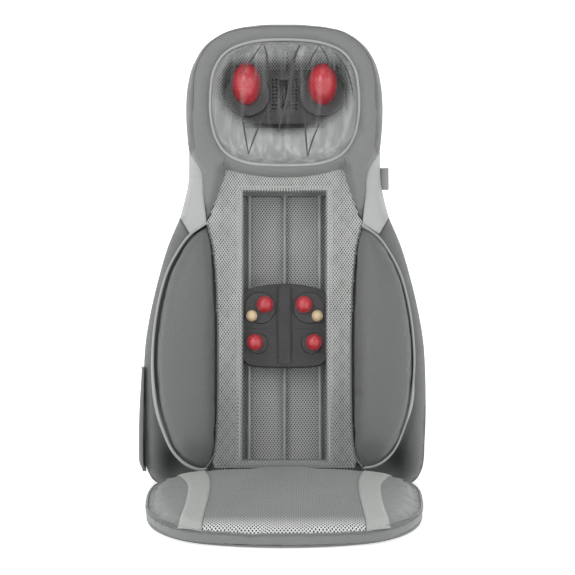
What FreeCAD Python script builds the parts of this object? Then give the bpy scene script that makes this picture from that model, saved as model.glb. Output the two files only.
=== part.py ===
import FreeCAD, Part
import math
import os

# A massage seat topper: a reclined back with a sliding back carriage and a sliding neck carriage,
# and a seat pad that folds up against it.
#
# Axes: +X to the right as seen from the front, -Y towards the front, +Z up.
# Origin: middle of the seat pad's underside, below the crease where the seat meets the back.
# The back is drawn upright as (x, v, w): v runs up the back from the crease and w comes out of it
# towards the sitter. stand() then leans it back and lifts it to the crease. All sizes in mm.

V = FreeCAD.Vector

# ---- driving dimensions ----
RECLINE = 12.0            # lean of the back, degrees
CREASE_HEIGHT = 38.0      # crease above the surface that the pad rests on
GAP = 0.4                 # gap between neighbouring soft parts

SHELL_REAR = -78.0        # w of the rear shell's outside
SHELL_WALL = 2.5
SHELL_INSET = 7.0         # cover thickness outside the shell
WEB_BACK = -34.0          # chassis web
WEB_FRONT = -30.0

TUB_HALF = 75.0           # back channel, inside
TUB_LOW = 5.0
TUB_HIGH = 451.0
TUB_FLOOR = -66.0
TUB_WALL = 3.0
NECK_TUB_HALF = 104.0     # neck recess, inside
NECK_TUB_LOW = 486.0
NECK_TUB_HIGH = 693.0
NECK_TUB_FLOOR = -56.0

RAIL_R = 4.0
SCREW_R = 4.0
RUN = 0.06                # radial clearance of a running fit
BUSH_R = 7.0
NUT_R = 8.0
BEARING_R = 5.8
BACK_AXIS_W = -56.0       # depth of the back rails and screw
BACK_RAIL_X = 58.0
NECK_AXIS_W = -46.0
NECK_RAIL_X = 84.0

BASE_FLOOR = -49.0        # back carriage
BASE_RIM = -24.0
COVER_TOP = -19.5
UPPER_X = 39.6
UPPER_V = 256.0
LOWER_X = 43.5
LOWER_V = 198.1
WORM_V = 224.0
WORM_W = -36.0
UPPER_TEETH = 26          # module 2, so the pitch radius equals the tooth count
LOWER_TEETH = 20
WORM_R = 5.6

NECK_FLOOR = -36.0        # neck carriage
NECK_RIM = -3.0
NECK_COVER_TOP = 1.4
NECK_X = 61.0
NECK_V = 604.0
NECK_TEETH = 30
NECK_WORM_V = NECK_V - NECK_TEETH - 6.0
NECK_WORM_W = -18.0
NECK_NODE_RISE = 16.0     # tall node's centre above its disc's centre

BOLSTER_RAMP = 31.0       # the bolsters thin towards the crease so that the seat can fold
SEAT_PANEL = 3.0          # thickness of the base panel
SEAT_DROP_SIDE = 19.0     # how far the crowned seat falls towards its sides
SEAT_DROP_FRONT = 18.0
VIBRATOR_X = 72.0
VIBRATOR_Y = -170.0
VIBRATOR_Z = 16.0

# ---- outlines, right half, as (x, v) ----
BACK_EDGE = [(90, 717), (118, 703), (133, 690), (150, 663), (158, 636), (161, 575), (157, 515),
             (158, 462), (170, 409), (191, 356), (206, 303), (218, 250), (226, 198), (229, 107),
             (227, 45), (222, -4), (208, -25), (178, -33)]
WINDOW_EDGE = [(58, 683), (93, 668), (111, 642), (117, 608), (116, 560), (106, 525), (90, 505),
               (58, 492)]
BOLSTER_OUTER = [(125, 391), (153, 370), (172, 343), (188, 311), (199, 272), (207, 224),
                 (210, 175), (208, 131), (202, 90), (191, 55), (177, 25), (159, 6), (140, -3),
                 (126, -4)]
BOLSTER_INNER = [(126, -4), (114, 14), (109, 45), (107, 110), (107, 207), (110, 294), (116, 353),
                 (125, 391)]


def at(x, v, w):
    """Point of the upright back."""
    return V(x, -w, v)


def stand(shape):
    """Lean an upright shape back and lift it to the crease."""
    leaned = shape.copy()
    leaned.rotate(V(0, 0, 0), V(1, 0, 0), -RECLINE)
    leaned.translate(V(0, 0, CREASE_HEIGHT))
    return leaned


def mirror_points(points):
    return [(-x, v) for x, v in reversed(points)]


def symmetric(half, top=None, bottom=None):
    """Closed list of points from a right half, with optional points on the centre line."""
    first = [(0, top)] if top is not None else []
    last = [(0, bottom)] if bottom is not None else []
    return first + half + last + mirror_points(half)


def inset(points, distance):
    """Move a closed list of points inwards along its own normals."""
    count = len(points)
    area = sum(points[i - 1][0] * points[i][1] - points[i][0] * points[i - 1][1]
               for i in range(count))
    side = 1 if area > 0 else -1
    moved = []
    for i, (x, v) in enumerate(points):
        before = points[i - 1]
        after = points[(i + 1) % count]
        dx, dv = after[0] - before[0], after[1] - before[1]
        length = math.hypot(dx, dv)
        moved.append((x - side * distance * dv / length, v + side * distance * dx / length))
    return moved


def ring(points, w):
    """Smooth closed wire through the points."""
    curve = Part.BSplineCurve()
    curve.interpolate([at(x, v, w) for x, v in points], PeriodicFlag=True)
    return Part.Wire([curve.toShape()])


def loop(runs, w):
    """Closed wire of runs: two points are a line, three an arc, more a smooth curve."""
    edges = []
    for run in runs:
        points = [at(x, v, w) for x, v in run]
        if len(points) == 2:
            edges.append(Part.LineSegment(*points).toShape())
        elif len(points) == 3:
            edges.append(Part.Arc(*points).toShape())
        else:
            curve = Part.BSplineCurve()
            curve.interpolate(points)
            edges.append(curve.toShape())
    return Part.Wire(edges)


def split(points, breaks):
    """Cut a closed list into runs that start at the given indices."""
    closed = points + [points[0]]
    stops = breaks + [len(points)]
    return [closed[a:b + 1] for a, b in zip(stops, stops[1:])]


def slab(wire, thickness):
    """Solid from a wire, growing towards the sitter."""
    return Part.Face(wire).extrude(V(0, -thickness, 0))


def block(x0, x1, v0, v1, w0, w1):
    return Part.makeBox(x1 - x0, w1 - w0, v1 - v0, at(x0, v0, w1))


def rod_v(r, v0, v1, x, w):
    """Cylinder that runs up the back."""
    return Part.makeCylinder(r, v1 - v0, at(x, v0, w), V(0, 0, 1))


def rod_w(r, w0, w1, x, v):
    """Cylinder that points at the sitter."""
    return Part.makeCylinder(r, w1 - w0, at(x, v, w0), V(0, -1, 0))


def rod_x(r, x0, x1, v, w):
    return Part.makeCylinder(r, x1 - x0, at(x0, v, w), V(1, 0, 0))


def mirror_x(shape):
    return shape.mirror(V(0, 0, 0), V(1, 0, 0))


def both(shape):
    return Part.Compound([shape, mirror_x(shape)])


def rounded_box(half, v0, v1, w0, w1, radius):
    box = block(-half, half, v0, v1, w0, w1)
    upright = [e for e in box.Edges if abs(e.tangentAt(e.FirstParameter).y) > 0.9]
    return box.makeFillet(radius, upright)


def wheel(teeth, w0, w1, x, v):
    """Toothed worm wheel of module 2: the tips stay just inside the pitch circle."""
    tip, root = teeth - 0.5, teeth - 3.2
    step = 2 * math.pi / teeth
    corners = []
    for i in range(teeth):
        for part, radius in ((0.0, root), (0.3, tip), (0.55, tip), (0.85, root)):
            angle = (i + part) * step
            corners.append(at(x + radius * math.cos(angle), v + radius * math.sin(angle), w0))
    corners.append(corners[0])
    return slab(Part.makePolygon(corners), w1 - w0)


# ---- shared outlines ----
def back_outline(distance):
    return inset(symmetric(BACK_EDGE, 725, -33), distance)


def window_outline(distance):
    return inset(symmetric(WINDOW_EDGE, 688, 488), distance)


def hood_points():
    """Closed outline of the neck hood: over the top, down the right leg, under the window."""
    top = mirror_points(BACK_EDGE[:7]) + [(0, 725)] + BACK_EDGE[:7]
    right = [(140, 488), (132, 467), (131, 437), (125.5, 392.5)]
    under = [(119, 404), (106, 443), (98, 484), (50, 470), (0, 465)]
    return top + right + under + mirror_points(right + under[:-1])


def hood_wire(distance, w, leg=1.0):
    """The hood narrows over the top only, so the legs keep their width."""
    over_top = 15
    points = inset(hood_points(), distance)[:over_top] + inset(hood_points(), leg)[over_top:]
    last = over_top - 1
    return loop(split(points, [0, last, last + 4, last + 7, last + 11, last + 14]), w)


def centre_wire(distance, w):
    """Outline of the centre pad and the mesh over it, between bolsters and hood legs."""
    side = [(98, 484), (106, 443), (119, 404), (125, 391), (116, 353), (110, 294), (107, 207),
            (107, 110), (108, 60), (110, 30), (113, 8)]
    points = inset([(0, 465), (50, 470)] + side + mirror_points(side) + [(-50, 470)], distance)
    last = len(points) - 1
    runs = [[points[last], points[0], points[1], points[2]],
            points[2:6], points[5:13], points[12:14], points[13:21], points[20:24],
            [points[23], points[last]]]
    return loop(runs, w)


# ---- back, outside ----
def dished(distance, w0, w1):
    """The back's outline with a rounded rear rim."""
    sections = [(distance + 9.0, w0), (distance + 2.6, w0 + 3.2), (distance, w0 + 11.0),
                (distance, w1)]
    return Part.makeLoft([ring(back_outline(d), w) for d, w in sections], True, True)


def rear_shell():
    outer = dished(SHELL_INSET, SHELL_REAR, WEB_BACK)
    cavity = dished(SHELL_INSET + SHELL_WALL, SHELL_REAR + SHELL_WALL, WEB_BACK + 1)
    above = Part.makeBox(1200, 1200, 1200, V(-600, -600, 0))
    inside = Part.makeBox(1200, 1200, 1200, V(-600, -600, SHELL_WALL))
    shell = stand(outer).common(above).cut(stand(cavity).common(inside))
    for x, v in screw_places():
        shell = shell.cut(stand(rod_w(2.2, -90, -60, x, v)))
    return shell.cut(stand(rod_w(9.0, -90, -60, INLET_X, INLET_V)))


INLET_X = 150.0
INLET_V = 70.0
INLET_R = 3.5


def screw_places():
    right = [(90, 676), (122, 540), (133, 400), (181, 250), (191, 60), (110, 8)]
    return right + [(-x, v) for x, v in right]


def rear_screws():
    screws = []
    for x, v in screw_places():
        head = rod_w(4.0, SHELL_REAR - 2.0, SHELL_REAR, x, v)
        shank = rod_w(2.0, SHELL_REAR, -62.0, x, v)
        screws.append(head.fuse(shank))
    return Part.Compound(screws)


def cable_grommet():
    flange = rod_w(12.0, SHELL_REAR - 2.0, SHELL_REAR, INLET_X, INLET_V)
    neck = rod_w(9.0, SHELL_REAR, SHELL_REAR + 6.0, INLET_X, INLET_V)
    return flange.fuse(neck).cut(rod_w(INLET_R, -90, -60, INLET_X, INLET_V))


def chassis():
    web = slab(ring(back_outline(SHELL_INSET), WEB_BACK), WEB_FRONT - WEB_BACK)
    wall = TUB_WALL
    tub = block(-TUB_HALF - wall, TUB_HALF + wall, TUB_LOW - wall, TUB_HIGH + wall,
                TUB_FLOOR - wall, -3)
    neck_tub = rounded_box(NECK_TUB_HALF + wall, NECK_TUB_LOW - wall, NECK_TUB_HIGH + wall,
                           NECK_TUB_FLOOR - wall, WEB_FRONT, 14)
    body = web.fuse([tub, neck_tub])
    for x, v in screw_places():
        body = body.fuse(rod_w(6.0, SHELL_REAR + SHELL_WALL, WEB_BACK, x, v))
    body = body.cut(block(-TUB_HALF, TUB_HALF, TUB_LOW, TUB_HIGH, TUB_FLOOR, 0))
    body = body.cut(rounded_box(NECK_TUB_HALF, NECK_TUB_LOW, NECK_TUB_HIGH, NECK_TUB_FLOOR, 0, 11))
    for x, v in screw_places():
        body = body.cut(rod_w(2.0, -90, -62, x, v))
    body = body.cut(rod_v(6.0, -10, TUB_LOW + 1, 0, BACK_AXIS_W))
    body = body.cut(rod_v(6.0, 470, NECK_TUB_LOW + 1, 0, NECK_AXIS_W))
    slice_floor = Part.makeBox(1200, 1200, 1200, V(-600, -600, SHELL_WALL))
    return stand(body).common(slice_floor)


def neck_wall():
    """Outer form of the neck housing."""
    wall = slab(hood_wire(14, WEB_FRONT, 4.0), 34)
    return wall.common(block(-170, 170, 476, 740, WEB_FRONT, 6))


def neck_housing():
    cavity = rounded_box(113, 481, 698, WEB_FRONT - 1, 6, 40)
    return stand(neck_wall().cut(cavity))


def neck_hood():
    lower = Part.makeLoft([hood_wire(1.0, WEB_FRONT + GAP), hood_wire(8.0, 24.0)], True, True)
    front = Part.makeLoft([hood_wire(8.0, 24.0), hood_wire(11.5, 30.0)], True, True)
    hood = lower.fuse(front)
    hollow = slab(hood_wire(12.0, WEB_FRONT - 1, 2.4), 35.5)
    hood = hood.cut(hollow.common(block(-170, 170, 475.5, 740, WEB_FRONT - 1, 6)))
    hood = hood.cut(neck_wall())
    return stand(hood.cut(slab(ring(window_outline(0), -40), 90)))


def neck_window_cloth():
    outer = slab(ring(window_outline(0.6), 10), 44)
    rim = [e for e in outer.Edges if abs(e.BoundBox.YMin + 54) < 0.01
           and e.BoundBox.YLength < 0.01]
    outer = outer.makeFillet(14.0, rim)
    inner = slab(ring(window_outline(2.0), 9), 43.6)
    rim = [e for e in inner.Edges if abs(e.BoundBox.YMin + 52.6) < 0.01
           and e.BoundBox.YLength < 0.01]
    return stand(outer.cut(inner.makeFillet(12.8, rim)))


def centre_pad():
    pad = slab(centre_wire(GAP, WEB_FRONT + GAP), 33.6)
    hole = block(-TUB_HALF - 3.4, TUB_HALF + 3.4, TUB_LOW - 3.4, TUB_HIGH + 3.4, -40, 10)
    return stand(pad.cut(hole))


def mesh_cover():
    return stand(slab(centre_wire(GAP, 4.3), 1.5))


def shoulder():
    outer = [(156.5, 512), (157, 462), (169, 409)]
    inner = [(128.5, 402), (133, 437), (134, 467), (142, 488), (156.5, 512)]
    wire = loop([outer, [outer[-1], inner[0]], inner], WEB_FRONT + GAP)
    return slab(wire, 38)


def shoulder_panels():
    return stand(both(shoulder()))


def side_flap():
    outer = [(168, 406), (186, 352), (201, 300), (213, 247), (220, 190), (222.6, 107), (221, 45),
             (216, 4)]
    corner = [(216, 4), (205, -15), (180, -22)]
    inner = [(120.5, -22), (120.5, -2), (115.5, 14), (110, 45), (108.5, 110), (108.5, 207),
             (111.5, 294), (117.5, 353), (127.5, 400)]
    runs = [outer, corner, [corner[-1], inner[0]], [inner[0], inner[1]], inner[1:],
            [inner[-1], outer[0]]]
    return slab(loop(runs, WEB_FRONT + GAP), 23.4)


def side_flaps():
    return stand(both(side_flap()))


def bolster_wire(distance, w):
    points = inset(BOLSTER_OUTER + BOLSTER_INNER[1:-1], distance)
    tip = len(BOLSTER_OUTER) - 1
    return loop([points[:tip + 1], points[tip:] + [points[0]]], w)


def bolster():
    body = Part.makeLoft([bolster_wire(GAP, -5.6), bolster_wire(1.0, 22)], True, True)
    crown = Part.makeLoft([bolster_wire(1.0, 22), bolster_wire(9.0, 34)], True, True)
    foot, start, reach = -6, 3, 160
    top = start + reach * math.tan(math.radians(BOLSTER_RAMP))
    corners = [(foot, start), (foot, top), (foot + reach, top), (foot, start)]
    side = Part.Face(Part.makePolygon([at(0, v, w) for v, w in corners]))
    return body.fuse(crown).cut(side.extrude(V(300, 0, 0)))


def side_pocket():
    outside = block(-231.6, -223.4, -6, 158, -68, -10)
    inside = block(-230.4, -224.8, -4, 160, -66.6, -11.4)
    return stand(outside.cut(inside))


def side_tab():
    return stand(block(155, 170, 452, 488, -32.5, -31.0).cut(chassis_envelope()))


def chassis_envelope():
    return slab(ring(back_outline(SHELL_INSET), WEB_BACK - 1), 8)


STRAP_THICK = 1.6
STRAP_HIGH = 430.0
STRAP_LOW = 150.0
STRAP_WIDTH = 38.0


def chair_straps():
    straps = []
    for v, half in ((STRAP_HIGH, 138), (STRAP_LOW, 200)):
        w1 = SHELL_REAR - 0.2
        straps.append(block(-half, -24, v - STRAP_WIDTH / 2, v + STRAP_WIDTH / 2,
                            w1 - STRAP_THICK, w1))
        straps.append(block(24, half, v - STRAP_WIDTH / 2, v + STRAP_WIDTH / 2,
                            w1 - STRAP_THICK, w1))
    return stand(Part.Compound(straps))


def strap_buckles():
    buckles = []
    for v in (STRAP_HIGH, STRAP_LOW):
        w1 = SHELL_REAR - 0.2
        body = block(-24, 24, v - 22, v + 22, w1 - 7, w1)
        body = body.makeChamfer(2.0, [e for e in body.Edges if e.BoundBox.YMax > -w1 + 6.9])
        for x in (-17, 17):
            body = body.cut(block(x - 2, x + 2, v - 16, v + 16, w1 - 8, w1 + 1))
        buckles.append(body)
    return stand(Part.Compound(buckles))


def crease_hinge():
    """Sewn roll at the fold line; the seat turns about its axis."""
    return Part.makeCylinder(2.0, 170, V(-85, HINGE_Y, CREASE_HEIGHT + 1.0), V(1, 0, 0))


HINGE_Y = -2.6


# ---- back, inside ----
def guide_rails():
    rails = [rod_v(RAIL_R, TUB_LOW, TUB_HIGH, s * BACK_RAIL_X, BACK_AXIS_W) for s in (-1, 1)]
    rails += [rod_v(RAIL_R, NECK_TUB_LOW, NECK_TUB_HIGH, s * NECK_RAIL_X, NECK_AXIS_W)
              for s in (-1, 1)]
    return stand(Part.Compound(rails))


BRACKET = 6.0


def end_bracket(v0, half, w, low, high, rail_x):
    bar = block(-half, half, v0, v0 + BRACKET, low, high)
    for x in (-rail_x, rail_x):
        bar = bar.cut(rod_v(RAIL_R, v0 - 1, v0 + BRACKET + 1, x, w))
    return bar.cut(rod_v(BEARING_R, v0 - 1, v0 + BRACKET + 1, 0, w))


def bracket_rows():
    """(v0, screw depth) of the four end brackets."""
    return [(TUB_LOW, BACK_AXIS_W), (TUB_HIGH - BRACKET, BACK_AXIS_W),
            (NECK_TUB_LOW, NECK_AXIS_W), (NECK_TUB_HIGH - BRACKET, NECK_AXIS_W)]


def rail_brackets():
    bars = []
    for v0, w in bracket_rows():
        back = w == BACK_AXIS_W
        floor = TUB_FLOOR if back else NECK_TUB_FLOOR
        half, rail_x = (70, BACK_RAIL_X) if back else (92, NECK_RAIL_X)
        bars.append(end_bracket(v0, half, w, floor, w + 9.5 - 3.5 * back, rail_x))
    return stand(Part.Compound(bars))


def screw_bearings():
    rings = [rod_v(BEARING_R, v0, v0 + BRACKET, 0, w).cut(
        rod_v(SCREW_R + RUN, v0 - 1, v0 + BRACKET + 1, 0, w)) for v0, w in bracket_rows()]
    return stand(Part.Compound(rings))


def lead_screw(v0, v1, w):
    return stand(rod_v(SCREW_R, v0, v1, 0, w))


def travel_motor(v_top, w, can_r, depth):
    """Right-angle gearmotor below a lead screw."""
    box = block(-15, 16, v_top - 19, v_top, w - depth, w + 11)
    box = box.cut(rod_v(SCREW_R + RUN, v_top - 5, v_top + 1, 0, w))
    can = rod_x(can_r, 16, 68, v_top - 9.5, w)
    boss = rod_x(5.0, 68, 72, v_top - 9.5, w)
    return stand(box.fuse([can, boss]))


def control_board():
    board = block(-55, 55, 530, 600, -68.0, -66.4)
    parts = [block(-45, -25, 545, 575, -66.4, -60.5), block(-10, 5, 540, 555, -66.4, -62),
             block(20, 48, 560, 590, -66.4, -61)]
    posts = [rod_w(3, SHELL_REAR + SHELL_WALL, -68.0, x, v) for x in (-50, 50)
             for v in (535, 595)]
    return stand(board.fuse(parts + posts))


def limit_switches():
    boxes = [block(24, 36, TUB_LOW, TUB_LOW + 3.5, -46, -38),
             block(24, 36, TUB_HIGH - 3.5, TUB_HIGH, -46, -38),
             block(30, 42, NECK_TUB_LOW, NECK_TUB_LOW + 8, -36.4, -30.5),
             block(30, 42, NECK_TUB_HIGH - 8, NECK_TUB_HIGH, -36.4, -30.5)]
    return stand(Part.Compound(boxes))


# ---- back carriage ----
def carriage_block(shrink, w0, w1):
    """Block with an arched top, a slightly bowed bottom and rounded corners."""
    half, top, bottom = 70 - shrink, 296 - shrink, 159.6 + shrink
    runs = [[(-half, top - 13), (0, top), (half, top - 13)], [(half, top - 13), (half, bottom + 3)],
            [(half, bottom + 3), (0, bottom), (-half, bottom + 3)],
            [(-half, bottom + 3), (-half, top - 13)]]
    body = slab(loop(runs, w0), w1 - w0)
    for radius, v in ((18.0, top - 13), (22.0, bottom + 3)):
        corners = [e for e in body.Edges if e.BoundBox.YLength > 1 and e.BoundBox.XLength < 0.1
                   and abs(e.BoundBox.Center.z - v) < 0.1]
        body = body.makeFillet(radius - shrink, corners)
    return body


BUSH_ROWS = (168.0, 272.0)
BUSH_LENGTH = 14.0
NUT_ROW = 214.0
NUT_LENGTH = 24.0


def back_carriage_base():
    base = carriage_block(0, BASE_FLOOR, BASE_RIM)
    base = base.cut(carriage_block(2.4, BASE_FLOOR + 3, 0))
    for x in (-BACK_RAIL_X, BACK_RAIL_X):
        for v in BUSH_ROWS:
            base = base.fuse(block(x - 9, x + 9, v, v + BUSH_LENGTH, -65, BASE_FLOOR))
            base = base.cut(rod_v(BUSH_R, v - 1, v + BUSH_LENGTH + 1, x, BACK_AXIS_W))
    base = base.fuse(block(-11, 11, NUT_ROW, NUT_ROW + NUT_LENGTH, -65, BASE_FLOOR))
    base = base.cut(rod_v(NUT_R, NUT_ROW - 1, NUT_ROW + NUT_LENGTH + 1, 0, BACK_AXIS_W))
    for x, v, r in ((UPPER_X, UPPER_V, UPPER_SHAFT_R), (LOWER_X, LOWER_V, LOWER_SHAFT_R)):
        for side in (-1, 1):
            base = base.fuse(rod_w(r + 4, BASE_FLOOR + 3, -42, side * x, v))
            base = base.cut(rod_w(r + RUN, BASE_FLOOR + 3, -41, side * x, v))
    for side in (-1, 1):
        post = block(60, 66, WORM_V - 6, WORM_V + 6, BASE_FLOOR + 3, -30)
        post = post.cut(rod_x(3 + RUN, 59, 67, WORM_V, WORM_W))
        base = base.fuse(post if side > 0 else mirror_x(post))
    return stand(base)


UPPER_DISC_R = 25.0
LOWER_DISC_R = 16.0
UPPER_SHAFT_R = 5.0
LOWER_SHAFT_R = 4.0
SHAFT_END = -45.7         # w levels of the turning parts
GEAR_BACK = -40.0
GEAR_FRONT = -31.0
DISC_BACK = -23.4
DISC_FRONT = -17.5
ARM_FRONT = -16.6
SMALL_NODE_OUT = 13.5     # small node's place from the upper disc's centre
SMALL_NODE_DOWN = 13.7


def back_carriage_cover():
    cover = carriage_block(0, BASE_RIM, COVER_TOP)
    edge = [e for e in cover.Edges if abs(e.BoundBox.YMin + COVER_TOP) < 0.01
            and e.BoundBox.YLength < 0.01]
    cover = cover.makeFillet(1.5, edge)
    cover = cover.fuse(block(-9, 9, 166, 290, COVER_TOP, COVER_TOP + 2.2))
    for side in (-1, 1):
        cover = cover.cut(block(side * 12 - 1.2, side * 12 + 1.2, 166, 290, -21, -15))
        cover = cover.cut(rod_w(UPPER_DISC_R + 0.8, -30, 0, side * UPPER_X, UPPER_V))
        cover = cover.cut(rod_w(LOWER_DISC_R + 0.8, -30, 0, side * LOWER_X, LOWER_V))
        cover = cover.cut(block(min(side * 13, side * 70), max(side * 13, side * 70),
                                221.2, 222.4, -20.5, -15))
    return stand(cover)


def back_carriage_bushes():
    bushes = []
    for x in (-BACK_RAIL_X, BACK_RAIL_X):
        for v in BUSH_ROWS:
            bush = rod_v(BUSH_R, v, v + BUSH_LENGTH, x, BACK_AXIS_W)
            bushes.append(bush.cut(rod_v(RAIL_R + RUN, v - 1, v + BUSH_LENGTH + 1, x,
                                         BACK_AXIS_W)))
    return stand(Part.Compound(bushes))


def nut(v0, length, w):
    tube = rod_v(NUT_R, v0, v0 + length, 0, w)
    return stand(tube.cut(rod_v(SCREW_R + RUN, v0 - 1, v0 + length + 1, 0, w)))


def kneading_motor(half, radius, v, w):
    """Double-ended motor on the worm shaft."""
    can = rod_x(radius, -half, half, v, w)
    return stand(can.cut(rod_x(3 + RUN, -half - 1, half + 1, v, w)))


def worm_shaft(half, worm_from, worm_to, v, w):
    shaft = rod_x(3.0, -half, half, v, w)
    right = rod_x(WORM_R, worm_from, worm_to, v, w)
    return stand(shaft.fuse([right, mirror_x(right)]))


def upper_disc(side):
    """Disc, shaft and worm wheel in one moulding, with the flat arm that carries the nodes."""
    x = side * UPPER_X
    disc = rod_w(UPPER_DISC_R, DISC_BACK, DISC_FRONT, x, UPPER_V)
    shaft = rod_w(UPPER_SHAFT_R, SHAFT_END, DISC_BACK, x, UPPER_V)
    arm = rod_w(9.6, DISC_FRONT - 0.7, ARM_FRONT, x + side * SMALL_NODE_OUT, UPPER_V - SMALL_NODE_DOWN)
    gear = wheel(UPPER_TEETH, GEAR_BACK, GEAR_FRONT, x, UPPER_V)
    return stand(disc.fuse([shaft, arm, gear]))


def dome(radius, height, x, v, w0):
    """Round node: short cylinder with a ball top."""
    post = rod_w(radius, w0, w0 + height - radius * 0.8, x, v)
    ball = Part.makeSphere(radius, at(x, v, w0 + height - radius))
    above = block(x - 40, x + 40, v - 40, v + 40, w0, w0 + 60)
    return post.fuse(ball.common(above))


def upper_node(side):
    return stand(dome(13.5, 19.0, side * (UPPER_X - 7.9), UPPER_V + 4.9, ARM_FRONT))


def upper_small_node(side):
    return stand(dome(9.0, 15.0, side * (UPPER_X + SMALL_NODE_OUT), UPPER_V - SMALL_NODE_DOWN,
                      ARM_FRONT))


def lower_disc(side):
    x = side * LOWER_X
    disc = rod_w(LOWER_DISC_R, DISC_BACK, DISC_FRONT, x, LOWER_V)
    shaft = rod_w(LOWER_SHAFT_R, SHAFT_END, DISC_BACK, x, LOWER_V)
    gear = wheel(LOWER_TEETH, GEAR_BACK, GEAR_FRONT, x, LOWER_V)
    return stand(disc.fuse([shaft, gear]))


def lower_node(side):
    return stand(dome(13.0, 19.0, side * (LOWER_X + 4.3), LOWER_V + 1.2, DISC_FRONT))


# ---- neck carriage ----
NECK_LOW = 556.0
NECK_HIGH = 645.0
NECK_HALF = 95.0
NECK_BUSH_ROWS = (560.0, 628.0)
NECK_NUT_ROW = 633.0
NECK_NUT_LENGTH = 11.0


def neck_carriage_base():
    base = rounded_box(NECK_HALF, NECK_LOW, NECK_HIGH, NECK_FLOOR, NECK_RIM, 16)
    base = base.cut(rounded_box(NECK_HALF - 2.4, NECK_LOW + 2.4, NECK_HIGH - 2.4,
                                NECK_FLOOR + 2.6, 10, 13.6))
    for x in (-NECK_RAIL_X, NECK_RAIL_X):
        for v in NECK_BUSH_ROWS:
            base = base.fuse(block(x - 9, x + 9, v, v + BUSH_LENGTH, -54.5, NECK_FLOOR))
            base = base.cut(rod_v(BUSH_R, v - 1, v + BUSH_LENGTH + 1, x, NECK_AXIS_W))
    base = base.fuse(block(-11, 11, NECK_NUT_ROW, NECK_NUT_ROW + NECK_NUT_LENGTH, -54.5,
                           NECK_FLOOR))
    base = base.cut(rod_v(NUT_R, NECK_NUT_ROW - 1, NECK_NUT_ROW + NECK_NUT_LENGTH + 1, 0,
                          NECK_AXIS_W))
    for side in (-1, 1):
        base = base.fuse(rod_w(10, NECK_FLOOR + 2.6, -30, side * NECK_X, NECK_V))
        base = base.cut(rod_w(6 + RUN, NECK_FLOOR + 2.6, -29, side * NECK_X, NECK_V))
        post = block(84, 90, NECK_WORM_V - 6, NECK_WORM_V + 6, NECK_FLOOR + 2.6, -12)
        post = post.cut(rod_x(3 + RUN, 83, 91, NECK_WORM_V, NECK_WORM_W))
        base = base.fuse(post if side > 0 else mirror_x(post))
    return stand(base.cut(block(-8, 8, 582, 629, -40, 0)))


def neck_carriage_cover():
    cover = rounded_box(NECK_HALF, NECK_LOW, NECK_HIGH, NECK_RIM, NECK_COVER_TOP, 16)
    for side in (-1, 1):
        cover = cover.cut(rod_w(6.6, -10, 10, side * NECK_X, NECK_V))
    cover = cover.cut(block(-8, 8, 582, 629, -10, 10))
    rows, pitch = 9, 6.0
    for column in (-19, -13.5, 13.5, 19):
        for i in range(rows):
            cover = cover.cut(rod_w(1.7, -10, 10, column, 581 + i * pitch))
    return stand(cover)


def neck_carriage_bushes():
    bushes = []
    for x in (-NECK_RAIL_X, NECK_RAIL_X):
        for v in NECK_BUSH_ROWS:
            bush = rod_v(BUSH_R, v, v + BUSH_LENGTH, x, NECK_AXIS_W)
            bushes.append(bush.cut(rod_v(RAIL_R + RUN, v - 1, v + BUSH_LENGTH + 1, x,
                                         NECK_AXIS_W)))
    return stand(Part.Compound(bushes))


def neck_disc(side):
    x = side * NECK_X
    disc = rod_w(37.0, NECK_COVER_TOP + 0.6, 8.0, x, NECK_V)
    edge = [e for e in disc.Edges if abs(e.BoundBox.YMin + 8) < 0.01 and e.BoundBox.YLength < 0.01]
    disc = disc.makeFillet(2.5, edge)
    shaft = rod_w(6.0, -33.0, NECK_COVER_TOP + 0.6, x, NECK_V)
    gear = wheel(NECK_TEETH, -22, -13, x, NECK_V)
    return stand(disc.fuse([shaft, gear]))


NODE_HALF_X = 24.0
NODE_HALF_V = 34.5
NODE_HEIGHT = 37.0


def neck_node(side):
    """Tall egg-shaped dome."""
    half_ball = Part.makeSphere(1.0, V(0, 0, 0), V(0, -1, 0), 0, 90, 360)
    stretch = FreeCAD.Matrix()
    stretch.scale(NODE_HALF_X, NODE_HEIGHT, NODE_HALF_V)
    egg = half_ball.transformGeometry(stretch)
    egg.translate(at(side * (NECK_X + 1.0), NECK_V + NECK_NODE_RISE, 8.0))
    return stand(egg)


# ---- seat ----
SEAT_EDGE = [(80, -5.2), (150, -7), (184, -13), (203, -36), (211, -80), (211, -150), (206, -220),
             (195, -273), (172, -323), (136, -362), (77, -388)]


def seat_outline(distance, z, thickness):
    points = inset(symmetric(SEAT_EDGE, HINGE_Y - 2.6, -398), distance)
    curve = Part.BSplineCurve()
    curve.interpolate([V(x, y, z) for x, y in points], PeriodicFlag=True)
    return Part.Face(Part.Wire([curve.toShape()])).extrude(V(0, 0, thickness))


def crown():
    """Space under the crowned top of the seat: it falls to both sides and to the front."""
    half, depth = 205.0, 398.0
    side_r = (half ** 2 + SEAT_DROP_SIDE ** 2) / (2 * SEAT_DROP_SIDE)
    front_r = (depth ** 2 + SEAT_DROP_FRONT ** 2) / (2 * SEAT_DROP_FRONT)
    across = Part.makeCylinder(side_r, 500, V(0, -450, CREASE_HEIGHT - side_r), V(0, 1, 0))
    along = Part.makeCylinder(front_r, 500, V(-250, 0, CREASE_HEIGHT - front_r), V(1, 0, 0))
    return across.common(along)


def vibrator_pocket(side):
    return Part.makeCylinder(11.4, 52, V(side * VIBRATOR_X, VIBRATOR_Y - 26, VIBRATOR_Z),
                             V(0, 1, 0))


def seat_cushion():
    cushion = seat_outline(0, SEAT_PANEL, 60).common(crown())
    for side in (-1, 1):
        cushion = cushion.cut(vibrator_pocket(side))
    return cushion


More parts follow.
